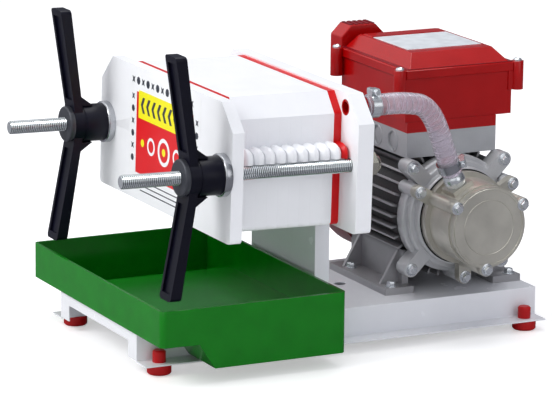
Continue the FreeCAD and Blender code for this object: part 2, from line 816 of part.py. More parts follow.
def make_end_shield():
    """Stepped pump-end shield with four tie-bolt ears and three bosses for the pump's flange."""
    body = add_body("motor_end_shield")
    profile = add_sketch(body, "YZ_Plane", "ShieldProfile")
    step = "shield_near + shield_step_depth"
    add_polygon(profile, [
        ("frame_near", "0"), ("collar_near", "0"), ("collar_near", "collar_radius - shield_bevel"),
        ("collar_near + shield_bevel", "collar_radius"), ("shield_near", "collar_radius"),
        ("shield_near", "shield_step_radius - shield_bevel"),
        ("shield_near + shield_bevel", "shield_step_radius"), (step, "shield_step_radius"),
        (step, "shield_radius - shield_bevel"), (step + " + shield_bevel", "shield_radius"),
        ("frame_near", "shield_radius"),
    ])
    add_revolution(body, profile)
    webs = add_sketch(body, "XZ_Plane", "ShieldWebs", "-frame_near")
    out = "(boss_spread + tie_boss_radius * 0.7)"
    into = "(boss_spread - tie_boss_radius * 0.7)"
    for sign_x in ("", "-"):
        for sign_z in ("", "-"):
            add_polygon(webs, [
                (sign_x + into, sign_z + out), (sign_x + out, sign_z + into),
                (sign_x + f"({out} - tie_boss_radius * 2)", sign_z + f"({into} - tie_boss_radius * 2)"),
                (sign_x + f"({into} - tie_boss_radius * 2)", sign_z + f"({out} - tie_boss_radius * 2)"),
            ])
    add_pad(body, webs, "shield_depth")
    ears = add_sketch(body, "XZ_Plane", "ShieldEars", "-frame_near")
    for sign_x in ("", "-"):
        for sign_z in ("", "-"):
            add_circle(ears, sign_x + "boss_spread", sign_z + "boss_spread", "tie_boss_radius")
    add_pad(body, ears, "shield_depth")
    bosses = add_sketch(body, "XZ_Plane", "ShieldBosses", "-frame_near")
    draw_ears(bosses, "flange_bolt_circle", "flange_boss_radius", "flange_ear_turn")
    add_pad(body, bosses, "shield_depth + collar_depth")
    relief = add_sketch(body, "XY_Plane", "ShieldRelief", "crown_height - fit_gap")
    add_rectangle(relief, "-shield_radius", "shield_radius", "terminal_near - fit_gap", "frame_near")
    add_pocket(body, relief, "shield_radius", reversed_cut=True)
    set_on_motor(body)


def make_fan_cover():
    """Pressed cover over the fan, with a ring of air slots in its end."""
    body = add_body("fan_cover")
    profile = add_sketch(body, "YZ_Plane", "FanCoverProfile")
    far = "frame_far + fan_cover_depth"
    add_polygon(profile, [
        ("frame_far", "0"), (far, "0"), (far, "fan_cover_radius - fan_cover_round"),
        (far + " - fan_cover_round / 3", "fan_cover_radius - fan_cover_round / 3"),
        (far + " - fan_cover_round", "fan_cover_radius"), ("frame_far", "fan_cover_radius"),
    ])
    add_revolution(body, profile)
    slot = add_sketch(body, "XZ_Plane", "GrilleSlot", f"-({far})")
    add_rectangle(slot, "grille_inner", "grille_outer", "-grille_width / 2", "grille_width / 2")
    slot_cut = add_pocket(body, slot, "grille_depth", reversed_cut=True)
    add_pattern(body, slot_cut, slot, "grille_count")
    set_on_motor(body)


# ---------------------------------------------------------------- pump

def make_pump_body():
    """Pump casing with a three-eared flange, ears for its cover and a flat-faced port."""
    body = add_body("pump_body")
    profile = add_sketch(body, "YZ_Plane", "PumpProfile")
    add_polygon(profile, [
        ("collar_near", "0"), ("pump_near", "0"), ("pump_near", "pump_radius"),
        ("flange_near", "pump_radius"), ("flange_near", "pump_flange_radius"),
        ("collar_near", "pump_flange_radius"),
    ])
    add_revolution(body, profile)
    ears = add_sketch(body, "XZ_Plane", "PumpEars", "-flange_near")
    draw_ears(ears, "cover_bolt_circle", "cover_ear_radius", "cover_ear_turn")
    add_pad(body, ears, "pump_depth")
    boss = add_sketch(body, "XZ_Plane", "PumpPort", "-port_axis_at - port_boss_radius")
    draw_spoke(boss, "port_turn", "pump_radius / 2", "port_boss_reach", "port_boss_radius")
    add_pad(body, boss, "2 * port_boss_radius")
    webs = add_sketch(body, "XZ_Plane", "FlangeWebs", "-collar_near")
    for index in range(3):
        draw_spoke(webs, f"flange_ear_turn + {120 * index}", "pump_radius / 2",
                   "flange_bolt_circle", "flange_ear_radius")
    add_pad(body, webs, "pump_flange_depth")
    tips = add_sketch(body, "XZ_Plane", "FlangeEars", "-collar_near")
    draw_ears(tips, "flange_bolt_circle", "flange_ear_radius", "flange_ear_turn")
    add_pad(body, tips, "pump_flange_depth")
    set_on_motor(body)


def make_pump_cover():
    body = add_body("pump_cover")
    disc = add_sketch(body, "XZ_Plane", "CoverDisc", "-pump_near")
    add_circle(disc, "0", "0", "cover_radius")
    add_pad(body, disc, "cover_depth")
    ears = add_sketch(body, "XZ_Plane", "CoverEars", "-pump_near")
    draw_ears(ears, "cover_bolt_circle", "cover_ear_radius", "cover_ear_turn")
    add_pad(body, ears, "cover_depth")
    set_on_motor(body)


# ---------------------------------------------------------------- wiring boxes

def make_terminal_base():
    """Cast terminal box on the crown of the frame, with two cable knock-outs."""
    body = add_body("terminal_base")
    outline = add_sketch(body, "XY_Plane", "TerminalOutline", "crown_height")
    add_rectangle(outline, "terminal_left", "terminal_right", "terminal_near", "terminal_far")
    add_pad(body, outline, "terminal_top - crown_height")
    knockouts = add_sketch(body, "YZ_Plane", "Knockouts", "terminal_left")
    add_circle(knockouts, "knockout_far_at", "knockout_height", "knockout_radius")
    add_circle(knockouts, "knockout_near_at", "knockout_height", "knockout_radius")
    add_pocket(body, knockouts, "knockout_depth", reversed_cut=True)
    set_on_motor(body)


def make_control_box():
    """Switch box: a neck on the terminal box, walls under a proud rim, a screw lug at each corner."""
    body = add_body("control_box")
    neck = add_sketch(body, "XY_Plane", "BoxNeck", "terminal_top")
    add_rectangle(neck, "terminal_left", "terminal_right", "terminal_near", "terminal_far")
    add_pad(body, neck, "box_neck_height")
    main = add_sketch(body, "XY_Plane", "BoxMain", "box_bottom")
    add_rectangle(main, "box_left + box_rim_step", "box_right - box_rim_step",
                  "terminal_near + box_rim_step", "box_far - box_rim_step")
    add_pad(body, main, "box_top - box_bottom")
    rim = add_sketch(body, "XY_Plane", "BoxRim", "box_top - box_rim_height")
    add_rectangle(rim, "box_left", "box_right", "terminal_near", "box_far")
    add_pad(body, rim, "box_rim_height")
    lugs = add_sketch(body, "XY_Plane", "BoxLugs", "box_top - box_lug_height")
    webs = add_sketch(body, "XY_Plane", "BoxLugWebs", "box_top - box_lug_height")
    for side, into in (("(box_left - box_lug_out)", "+"), ("(box_right + box_lug_out)", "-")):
        for y in ("(terminal_near + box_lug_in)", "(box_far - box_lug_in)"):
            add_circle(lugs, side, y, "box_lug_radius")
            add_rectangle(webs, side, f"{side} {into} 2 * box_lug_out",
                          f"{y} - box_lug_in", f"{y} + box_lug_in")
    add_pad(body, lugs, "box_lug_height")
    add_pad(body, webs, "box_lug_height")
    set_on_motor(body)


def make_lid():
    """Bevelled lid: a loft from its seat on the box to the smaller top face, and a raised strip."""
    body = add_body("control_box_lid")
    low = add_sketch(body, "XY_Plane", "LidSeat", "box_top")
    add_rectangle(low, "box_left + lid_inset", "box_right - lid_inset",
                  "terminal_near + lid_lap", "box_far - lid_lap")
    high = add_sketch(body, "XY_Plane", "LidTop", "lid_top")
    add_rectangle(high, "lid_left", "lid_right", "lid_near", "lid_far")
    doc.recompute()
    loft = body.newObject("PartDesign::AdditiveLoft", "LidLoft")
    loft.Profile = low
    loft.Sections = [high]
    doc.recompute()
    strip = add_sketch(body, "XY_Plane", "LidStrip", "lid_top")
    add_rectangle(strip, "lid_left + nameplate_side_margin", "lid_right - nameplate_side_margin",
                  "nameplate_far + strip_gap", "lid_far - strip_gap")
    add_pad(body, strip, "strip_rise")
    set_on_motor(body)


def make_nameplate():
    body = add_body("nameplate")
    outline = add_sketch(body, "XY_Plane", "NameplateOutline", "lid_top")
    add_rectangle(outline, "lid_left + nameplate_side_margin", "lid_right - nameplate_side_margin",
                  "nameplate_near", "nameplate_far")
    add_pad(body, outline, "nameplate_thick")
    set_on_motor(body)


def make_switch_housing():
    """Housing with a bevelled top on the far side of the control box."""
    body = add_body("switch_housing")
    outline = add_sketch(body, "XZ_Plane", "SwitchOutline", "-box_far - socket_depth")
    add_polygon(outline, [
        ("socket_left", "socket_bottom"), ("socket_right", "socket_bottom"),
        ("socket_right", "socket_top - socket_bevel"), ("socket_right - socket_bevel", "socket_top"),
        ("socket_left + socket_bevel", "socket_top"), ("socket_left", "socket_top - socket_bevel"),
    ])
    add_pad(body, outline, "socket_depth")
    set_on_motor(body)


# ---------------------------------------------------------------- delivery hose

def press_point(x, y, z):
    """A point of the press frame in the part's own frame."""
    press = FreeCAD.Placement(
        FreeCAD.Vector(value("press_at"), 0, value("press_height")),
        FreeCAD.Rotation(FreeCAD.Vector(0, 1, 0), value("press_tilt")))
    return press.multVec(FreeCAD.Vector(value(x), value(y), value(z)))


def port_direction():
    turn = math.radians(value("port_turn"))
    return FreeCAD.Vector(math.cos(turn), 0, math.sin(turn))


def port_face():
    """Middle of the flat face that the elbow stands on."""
    axis = FreeCAD.Vector(value("motor_at"), value("port_axis_at"), value("motor_height"))
    return axis + port_direction() * value("port_boss_reach")


def elbow_centre():
    return port_face() + port_direction() * value("elbow_radius * elbow_sink")


def hose_points():
    """Route of the hose: straight off its tail, over, and down onto the elbow."""
    start = press_point("head_thick + tail_collar_length", "-tail_at", "tail_height")
    over = press_point("head_thick + tail_collar_length + hose_run", "-tail_at", "tail_height")
    drop = FreeCAD.Vector(-value("hose_drop_length"), -value("hose_drop_side"),
                          value("hose_drop_height"))
    end = elbow_centre() + drop.normalize() * value("elbow_radius * 0.8")
    bend = elbow_centre() + drop * (value("hose_drop_height") / drop.z)
    return [start, over, bend, end]


def rounded_path(points, radius):
    """Straight runs joined by tangent arcs."""
    edges = []
    last = points[0]
    for before, corner, after in zip(points, points[1:], points[2:]):
        first = (corner - before).normalize()
        second = (after - corner).normalize()
        half_turn = first.getAngle(second) / 2
        tangent = radius * math.tan(half_turn)
        bulge = radius * (1 / math.cos(half_turn) - 1)
        arc_start = corner - first * tangent
        arc_end = corner + second * tangent
        middle = corner + (second - first).normalize() * bulge
        edges.append(Part.LineSegment(last, arc_start).toShape())
        edges.append(Part.Arc(arc_start, middle, arc_end).toShape())
        last = arc_end
    edges.append(Part.LineSegment(last, points[-1]).toShape())
    return Part.Wire(edges)


def sweep_round(path, radius):
    """A round bar along a path that starts at the path's first point."""
    start = path.Edges[0].Vertexes[0].Point
    along = path.Edges[0].tangentAt(path.Edges[0].FirstParameter)
    ring = Part.Wire([Part.makeCircle(radius, start, along)])
    return path.makePipeShell([ring], True, False)


def add_shape(label, shape):
    piece = doc.addObject("Part::Feature", label)
    piece.Label = label
    piece.Shape = shape
    SUB_PARTS.append(piece)
    return piece


def make_delivery_hose():
    path = rounded_path(hose_points(), value("hose_bend"))
    outer = value("hose_radius")
    inner = outer - value("hose_wall")
    hose = sweep_round(path, outer).cut(sweep_round(path, inner))
    expected = math.pi * (outer ** 2 - inner ** 2) * path.Length
    print("hose runs", [round(edge.Length, 1) for edge in path.Edges])
    print(f"hose volume {hose.Volume:.0f}, section times length {expected:.0f}")
    add_shape("delivery_hose", hose)


def make_clamp(label, centre, along):
    """Clamp band round an end of the hose."""
    inner = value("hose_radius + fit_gap")
    width = value("clamp_width")
    start = centre - along * (width / 2)
    band = Part.makeCylinder(inner + value("clamp_band"), width, start, along)
    band = band.cut(Part.makeCylinder(inner, width, start, along))
    add_shape(label, band)


def make_clamps():
    start, over, bend, end = hose_points()
    step = value("clamp_width")
    first = (over - start).normalize()
    last = (end - bend).normalize()
    make_clamp("hose_clamp_head", start + first * step, first)
    make_clamp("hose_clamp_pump", end - last * step, last)


def make_hose_tail():
    """Barbed tail screwed into the head plate, with a collar against its rear face."""
    body = add_body("hose_tail")
    profile = add_sketch(body, "XZ_Plane", "TailProfile")
    add_polygon(profile, [
        ("0", "tail_inner_radius"), ("0", "tail_radius"), ("head_thick", "tail_radius"),
        ("head_thick", "tail_collar_radius"),
        ("head_thick + tail_collar_length", "tail_collar_radius"),
        ("head_thick + tail_collar_length", "tail_radius"),
        ("head_thick + tail_length", "tail_radius"),
        ("head_thick + tail_length", "tail_inner_radius"),
    ])
    add_revolution(body, profile)
    set_in_press(body, "-tail_at")
    body.setExpression(".Placement.Base.z", expr("press_height + tail_height * cos(press_tilt * 1 deg)"))
    body.setExpression(".Placement.Base.x", expr("press_at + tail_height * sin(press_tilt * 1 deg)"))


def make_port_elbow():
    """Rounded elbow that stands on the pump's port and carries the hose."""
    start, over, bend, end = hose_points()
    last = (end - bend).normalize()
    radius = value("elbow_radius")
    above_face = Part.makeCylinder(3 * radius, 4 * radius, port_face(), port_direction())
    ball = Part.makeSphere(radius, elbow_centre()).common(above_face)
    stub = Part.makeCylinder(value("tail_radius"), value("tail_length"),
                             elbow_centre(), last * -1)
    add_shape("port_elbow", ball.fuse(stub).removeSplitter())


# ---------------------------------------------------------------- build

make_base_chassis()
for end_name in ("front", "rear"):
    for side_name, sign in (("near", "-"), ("far", "")):
        make_foot(f"foot_{end_name}_{side_name}", f"foot_{end_name}_at", sign + "foot_spread")
make_drip_tray()
make_head_bracket()
make_head_plate()
make_end_plate("pressure_plate", "-pressure_front", "pressure_thick")
make_stack()
for side_name, sign in (("near", "-"), ("far", "")):
    make_tie_rod("tie_rod_" + side_name, sign + "rod_spread")
    make_rod_nut("rod_nut_" + side_name, sign + "rod_spread")
    make_washer("washer_" + side_name, sign + "rod_spread")
    make_handle("handle_" + side_name, sign + "rod_spread")
    make_handle_insert("handle_insert_" + side_name, sign + "rod_spread")
make_motor_frame()
make_end_shield()
make_fan_cover()
make_pump_body()
make_pump_cover()
make_terminal_base()
make_control_box()
make_lid()
make_nameplate()
make_switch_housing()
make_delivery_hose()
make_clamps()
make_hose_tail()
make_port_elbow()

doc.recompute()
for item in doc.Objects:
    if "Invalid" in item.State or "Error" in item.State:
        raise RuntimeError(f"{item.Label} failed: {item.State}")
for piece in SUB_PARTS:
    if piece.Shape.isNull() or not piece.Shape.isValid():
        raise RuntimeError(f"{piece.Label} has no valid shape")

os.makedirs("parts", exist_ok=True)
for piece in SUB_PARTS:
    piece.Shape.exportStep(f"parts/{piece.Label}.step")
    print(piece.Label, len(piece.Shape.Solids), round(piece.Shape.Volume))
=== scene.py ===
"""Looks of the plate filter press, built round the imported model. Metres, +Z up."""
import bpy
import bmesh
import json
import math
from mathutils import Matrix, Vector


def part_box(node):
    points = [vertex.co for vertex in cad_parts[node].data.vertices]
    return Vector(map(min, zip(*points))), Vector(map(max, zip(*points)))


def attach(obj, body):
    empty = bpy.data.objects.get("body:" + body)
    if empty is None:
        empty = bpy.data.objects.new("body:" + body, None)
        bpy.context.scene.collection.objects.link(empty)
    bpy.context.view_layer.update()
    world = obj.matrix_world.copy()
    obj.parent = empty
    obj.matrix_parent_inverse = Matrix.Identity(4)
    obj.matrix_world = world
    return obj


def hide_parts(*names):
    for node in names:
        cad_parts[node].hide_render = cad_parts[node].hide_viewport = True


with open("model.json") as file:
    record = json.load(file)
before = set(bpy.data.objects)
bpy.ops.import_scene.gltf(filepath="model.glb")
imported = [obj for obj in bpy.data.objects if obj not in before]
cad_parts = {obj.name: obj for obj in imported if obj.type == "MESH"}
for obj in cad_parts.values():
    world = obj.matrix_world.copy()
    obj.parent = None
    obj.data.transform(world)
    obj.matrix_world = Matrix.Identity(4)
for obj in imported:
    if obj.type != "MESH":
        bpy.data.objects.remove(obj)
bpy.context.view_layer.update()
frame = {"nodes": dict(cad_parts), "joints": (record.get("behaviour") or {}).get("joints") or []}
NODES = frame["nodes"]
JOINTS = {joint["name"]: joint for joint in frame["joints"]}
MM = 0.001

# The press leans back on its head plate: its axis and pivot come from the handle's joint
TURN = JOINTS["handle_near_turn"]
OUTWARD = Vector(TURN["axis"]).normalized()
PIVOT = Vector((TURN["pos_m"][0], 0, TURN["pos_m"][2]))
ROD_SPREAD = abs(TURN["pos_m"][1])
PRESS_UP = Vector((OUTWARD.z, 0, -OUTWARD.x)).normalized()
ACROSS = Vector((0, 1, 0))


def in_press(x, y, z):
    """A point given in millimetres behind the head plate's front, across, and above the rods."""
    return PIVOT - OUTWARD * (x * MM) + ACROSS * (y * MM) + PRESS_UP * (z * MM)


# The motor's axis runs along Y through the middle of its end shield
shield_low, shield_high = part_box("motor_end_shield")
MOTOR_AT = (shield_low.x + shield_high.x) / 2
MOTOR_HEIGHT = 0.118


def on_motor(x, y, z):
    """A point given in millimetres from the motor's axis, with Y measured in the part's frame."""
    return Vector((MOTOR_AT + x * MM, y * MM, MOTOR_HEIGHT + z * MM))


# ---------------------------------------------------------------- camera, light, floor

CAMERA_AT = Vector((-1.6135, -3.1915, 0.9589))
CAMERA_TARGET = Vector((-0.009, 0, 0.1297))
CAMERA_ROLL = 0.66
LENS = 238.6
LIGHT_FROM = Vector((-0.72, 0.05, 0.70))
LIT_STRENGTH = 0.80
FLOOR_REACH = 6
FLOOR_DROP = 0.0002
FLOOR_GLOW = 0.42


def make_camera():
    data = bpy.data.cameras.new("camera")
    data.lens = LENS
    data.sensor_width = 36
    camera = bpy.data.objects.new("camera", data)
    bpy.context.scene.collection.objects.link(camera)
    camera.location = CAMERA_AT
    look = (CAMERA_TARGET - CAMERA_AT).to_track_quat("-Z", "Y").to_matrix()
    roll = Matrix.Rotation(math.radians(CAMERA_ROLL), 3, "Z")
    camera.rotation_euler = (look @ roll).to_euler()
    bpy.context.scene.camera = camera


def add_area_light(name, location, size, power):
    data = bpy.data.lights.new(name, "AREA")
    data.shape = "DISK"
    data.size = size
    data.energy = power
    light = bpy.data.objects.new(name, data)
    light.location = location
    light.rotation_euler = (Vector((0, 0, 0.15)) - Vector(location)).to_track_quat("-Z", "Y").to_euler()
    bpy.context.scene.collection.objects.link(light)


def sky_ramp(tree, stops):
    """Grey that rises with how far a direction leans towards the light."""
    place = tree.nodes.new("ShaderNodeTexCoord")
    lean = tree.nodes.new("ShaderNodeVectorMath")
    lean.operation = "DOT_PRODUCT"
    lean.inputs[1].default_value = LIGHT_FROM.normalized()
    tree.links.new(place.outputs["Generated"], lean.inputs[0])
    span = tree.nodes.new("ShaderNodeMapRange")
    span.inputs["From Min"].default_value = -1
    span.inputs["From Max"].default_value = 1
    tree.links.new(lean.outputs["Value"], span.inputs["Value"])
    ramp = tree.nodes.new("ShaderNodeValToRGB")
    ramp.color_ramp.elements[0].position = stops[0][0]
    ramp.color_ramp.elements[0].color = [*stops[0][1], 1]
    ramp.color_ramp.elements[1].position = stops[-1][0]
    ramp.color_ramp.elements[1].color = [*stops[-1][1], 1]
    for position, colour in stops[1:-1]:
        ramp.color_ramp.elements.new(position).color = [*colour, 1]
    tree.links.new(span.outputs["Result"], ramp.inputs["Fac"])
    return ramp


def make_world():
    """White to the camera and through clear plastic; a sky with a bright and a dark side elsewhere."""
    world = bpy.data.worlds.new("studio")
    bpy.context.scene.world = world
    world.use_nodes = True
    tree = world.node_tree
    tree.nodes.clear()
    output = tree.nodes.new("ShaderNodeOutputWorld")
    path = tree.nodes.new("ShaderNodeLightPath")
    seen = tree.nodes.new("ShaderNodeBackground")
    seen.inputs["Color"].default_value = (1, 1, 1, 1)
    seen.inputs["Strength"].default_value = 1.0
    lit = tree.nodes.new("ShaderNodeBackground")
    lit.inputs["Strength"].default_value = LIT_STRENGTH
    lit_ramp = sky_ramp(tree, [(0.15, (0.42, 0.43, 0.50)), (0.5, (0.60, 0.62, 0.70)), (1, (1, 1, 1))])
    tree.links.new(lit_ramp.outputs["Color"], lit.inputs["Color"])
    mirrored = tree.nodes.new("ShaderNodeBackground")
    mirrored.inputs["Strength"].default_value = 1.0
    mirror_ramp = sky_ramp(tree, [(0.25, (0.05, 0.05, 0.06)), (0.55, (0.22, 0.23, 0.26)),
                                  (0.78, (0.95, 0.97, 1)), (1, (1, 1, 1))])
    tree.links.new(mirror_ramp.outputs["Color"], mirrored.inputs["Color"])
    glossy = tree.nodes.new("ShaderNodeMixShader")
    tree.links.new(path.outputs["Is Glossy Ray"], glossy.inputs["Fac"])
    tree.links.new(lit.outputs[0], glossy.inputs[1])
    tree.links.new(mirrored.outputs[0], glossy.inputs[2])
    clear = tree.nodes.new("ShaderNodeMath")
    clear.operation = "MAXIMUM"
    tree.links.new(path.outputs["Is Camera Ray"], clear.inputs[0])
    tree.links.new(path.outputs["Is Transmission Ray"], clear.inputs[1])
    mix = tree.nodes.new("ShaderNodeMixShader")
    tree.links.new(clear.outputs[0], mix.inputs["Fac"])
    tree.links.new(glossy.outputs[0], mix.inputs[1])
    tree.links.new(seen.outputs[0], mix.inputs[2])
    tree.links.new(mix.outputs[0], output.inputs[0])


def make_lights():
    add_area_light("key", (-2.0, 0.1, 1.9), 1.3, 34)
    add_area_light("top", (0.3, 0.4, 2.3), 1.6, 20)
    add_area_light("front", (0.8, -2.4, 0.9), 1.6, 7)


def make_floor():
    """White paper floor, darker in reflections so that colours stay deep."""
    mesh = bpy.data.meshes.new("floor")
    reach = FLOOR_REACH
    mesh.from_pydata([(-reach, -reach, 0), (reach, -reach, 0), (reach, reach, 0), (-reach, reach, 0)],
                     [], [(0, 1, 2, 3)])
    floor = bpy.data.objects.new("floor", mesh)
    floor.location.z = -FLOOR_DROP
    bpy.context.scene.collection.objects.link(floor)
    material = bpy.data.materials.new("floor_white")
    material.use_nodes = True
    tree = material.node_tree
    tree.nodes.clear()
    output = tree.nodes.new("ShaderNodeOutputMaterial")
    add = tree.nodes.new("ShaderNodeAddShader")
    paper = tree.nodes.new("ShaderNodeBsdfPrincipled")
    paper.inputs["Base Color"].default_value = (0.9, 0.9, 0.9, 1)
    paper.inputs["Roughness"].default_value = 0.3
    glow = tree.nodes.new("ShaderNodeEmission")
    glow.inputs["Color"].default_value = (1, 1, 1, 1)
    path = tree.nodes.new("ShaderNodeLightPath")
    scale = tree.nodes.new("ShaderNodeMath")
    scale.operation = "MULTIPLY"
    scale.inputs[1].default_value = FLOOR_GLOW
    tree.links.new(path.outputs["Is Camera Ray"], scale.inputs[0])
    tree.links.new(scale.outputs[0], glow.inputs["Strength"])
    mirrored = tree.nodes.new("ShaderNodeBsdfDiffuse")
    mirrored.inputs["Color"].default_value = (0.22, 0.22, 0.24, 1)
    by_ray = tree.nodes.new("ShaderNodeMixShader")
    tree.links.new(path.outputs["Is Glossy Ray"], by_ray.inputs["Fac"])
    tree.links.new(paper.outputs[0], by_ray.inputs[1])
    tree.links.new(mirrored.outputs[0], by_ray.inputs[2])
    tree.links.new(by_ray.outputs[0], add.inputs[0])
    tree.links.new(glow.outputs[0], add.inputs[1])
    tree.links.new(add.outputs[0], output.inputs[0])
    mesh.materials.append(material)


# ---------------------------------------------------------------- materials

def make_material(name, colour, roughness, metallic=0.0, mottle=0.06, mottle_scale=40.0,
                  grain=0.0, grain_scale=900.0, **sockets):
    """Principled surface whose colour and roughness wander a little, with an optional fine grain."""
    material = bpy.data.materials.new(name)
    material.use_nodes = True
    tree = material.node_tree
    shader = tree.nodes["Principled BSDF"]
    shader.inputs["Metallic"].default_value = metallic
    for socket, value in sockets.items():
        shader.inputs[socket.replace("_", " ")].default_value = value
    place = tree.nodes.new("ShaderNodeTexCoord")
    noise = tree.nodes.new("ShaderNodeTexNoise")
    noise.inputs["Scale"].default_value = mottle_scale
    noise.inputs["Detail"].default_value = 4
    tree.links.new(place.outputs["Object"], noise.inputs["Vector"])
    ramp = tree.nodes.new("ShaderNodeValToRGB")
    ramp.color_ramp.elements[0].position = 0.3
    ramp.color_ramp.elements[1].position = 0.7
    ramp.color_ramp.elements[0].color = [channel * (1 - mottle) for channel in colour] + [1]
    ramp.color_ramp.elements[1].color = [min(1, channel * (1 + mottle)) for channel in colour] + [1]
    tree.links.new(noise.outputs["Fac"], ramp.inputs["Fac"])
    tree.links.new(ramp.outputs["Color"], shader.inputs["Base Color"])
    rough = tree.nodes.new("ShaderNodeMapRange")
    rough.inputs["To Min"].default_value = max(0.02, roughness * 0.85)
    rough.inputs["To Max"].default_value = min(1, roughness * 1.15)
    tree.links.new(noise.outputs["Fac"], rough.inputs["Value"])
    tree.links.new(rough.outputs["Result"], shader.inputs["Roughness"])
    if grain:
        fine = tree.nodes.new("ShaderNodeTexNoise")
        fine.inputs["Scale"].default_value = grain_scale
        fine.inputs["Detail"].default_value = 3
        bump = tree.nodes.new("ShaderNodeBump")
        bump.inputs["Strength"].default_value = grain
        bump.inputs["Distance"].default_value = 0.0003
        tree.links.new(place.outputs["Object"], fine.inputs["Vector"])
        tree.links.new(fine.outputs["Fac"], bump.inputs["Height"])
        tree.links.new(bump.outputs["Normal"], shader.inputs["Normal"])
    return material


def paint_shade_near_motor_axis(material, inner, outer, painted_root_shade):
    """Paint shade on the roots of the motor's fins, which lie nearer its axis than the tips."""
    tree = material.node_tree
    shader = tree.nodes["Principled BSDF"]
    colour = shader.inputs["Base Color"].links[0].from_socket
    place = tree.nodes.new("ShaderNodeTexCoord")
    from_axis = tree.nodes.new("ShaderNodeVectorMath")
    from_axis.operation = "SUBTRACT"
    from_axis.inputs[1].default_value = (MOTOR_AT, 0, MOTOR_HEIGHT)
    flat = tree.nodes.new("ShaderNodeVectorMath")
    flat.operation = "MULTIPLY"
    flat.inputs[1].default_value = (1, 0, 1)
    length = tree.nodes.new("ShaderNodeVectorMath")
    length.operation = "LENGTH"
    span = tree.nodes.new("ShaderNodeMapRange")
    span.inputs["From Min"].default_value = inner * MM
    span.inputs["From Max"].default_value = outer * MM
    span.inputs["To Min"].default_value = painted_root_shade
    span.inputs["To Max"].default_value = 1
    mix = tree.nodes.new("ShaderNodeVectorMath")
    mix.operation = "SCALE"
    tree.links.new(place.outputs["Object"], from_axis.inputs[0])
    tree.links.new(from_axis.outputs[0], flat.inputs[0])
    tree.links.new(flat.outputs[0], length.inputs[0])
    tree.links.new(length.outputs["Value"], span.inputs["Value"])
    tree.links.new(colour, mix.inputs[0])
    tree.links.new(span.outputs["Result"], mix.inputs["Scale"])
    tree.links.new(mix.outputs[0], shader.inputs["Base Color"])


FINISHES = [
    ("white_paint", (0.82, 0.83, 0.87), 0.26, dict(grain=0.12, grain_scale=500, mottle=0.015)),
    ("white_plastic", (0.88, 0.89, 0.92), 0.36, dict(grain=0.10, mottle=0.015)),
    ("red_plastic", (0.37, 0.0005, 0.001), 0.22, dict(grain=0.06, Specular_IOR_Level=0.38)),
    ("red_plate", (0.62, 0.003, 0.005), 0.32, dict(grain=0.08, Specular_IOR_Level=0.3)),
    ("dark_red_paint", (0.17, 0.001, 0.006), 0.30, dict(grain=0.1, Specular_IOR_Level=0.4)),
    ("red_rubber", (0.48, 0.002, 0.004), 0.42, dict(grain=0.3, Specular_IOR_Level=0.3)),
    ("green_plastic", (0.001, 0.175, 0.004), 0.22, dict(grain=0.05, mottle=0.08, Specular_IOR_Level=0.4)),
    ("black_plastic", (0.0025, 0.0025, 0.010), 0.38, dict(grain=0.3, mottle=0.2, Specular_IOR_Level=0.22)),
    ("black_rubber", (0.008, 0.008, 0.009), 0.55, dict(grain=0.3, Specular_IOR_Level=0.3)),
    ("zinc_steel", (0.80, 0.84, 0.86), 0.20, dict(metallic=0.9, grain=0.10, grain_scale=1200)),
    # Painted shade for the grooves of the threaded rods
    ("thread_root_shade", (0.10, 0.115, 0.12), 0.45, dict(metallic=0.7, mottle=0.15)),
    ("bolt_steel", (0.74, 0.77, 0.80), 0.24, dict(metallic=0.85, grain=0.2, grain_scale=900)),
    ("washer_steel", (0.50, 0.51, 0.54), 0.26, dict(metallic=1.0, grain=0.2, grain_scale=700)),
    ("insert_steel", (0.045, 0.048, 0.06), 0.42, dict(metallic=0.3, grain=0.3, grain_scale=900)),
    ("brass", (0.62, 0.60, 0.50), 0.25, dict(metallic=1.0, grain=0.15)),
    ("cast_aluminium", (0.60, 0.605, 0.62), 0.42, dict(metallic=0.5, grain=0.8, grain_scale=420)),
    ("frame_aluminium", (0.40, 0.395, 0.41), 0.44, dict(metallic=0.55, grain=0.8, grain_scale=420)),
    ("pump_alloy", (0.56, 0.54, 0.48), 0.30, dict(metallic=0.62, grain=0.5, grain_scale=500, mottle=0.1)),
    ("grey_plastic", (0.42, 0.43, 0.45), 0.45, dict(metallic=0.2, grain=0.6, grain_scale=600)),
    ("label_metal", (0.80, 0.84, 0.88), 0.35, dict(metallic=0.3, grain=0.2, mottle=0.08, mottle_scale=90)),
    ("clear_hose", (0.90, 0.84, 0.92), 0.16, dict(mottle=0.02, IOR=1.35, Transmission_Weight=0.78)),
    ("hose_coil", (0.84, 0.79, 0.87), 0.30, dict(mottle=0.02, Transmission_Weight=0.6)),
    ("label_white", (0.88, 0.89, 0.91), 0.30, dict(mottle=0.01)),
    ("label_red", (0.72, 0.010, 0.014), 0.30, dict(mottle=0.02)),
    ("label_yellow", (0.90, 0.83, 0.01), 0.30, dict(mottle=0.02)),
    ("label_dark", (0.035, 0.04, 0.055), 0.35, dict(mottle=0.02)),
]
MATERIALS = {name: make_material(name, colour, roughness, **more)
             for name, colour, roughness, more in FINISHES}

# Millimetres from the motor's axis between which the painted shade on the fins fades out, and how dark the
# painted shade at their roots is
FIN_ROOT = 60
FIN_BRIGHT = 67
FIN_ROOT_PAINTED_SHADE = 0.12
paint_shade_near_motor_axis(MATERIALS["frame_aluminium"], FIN_ROOT, FIN_BRIGHT, FIN_ROOT_PAINTED_SHADE)

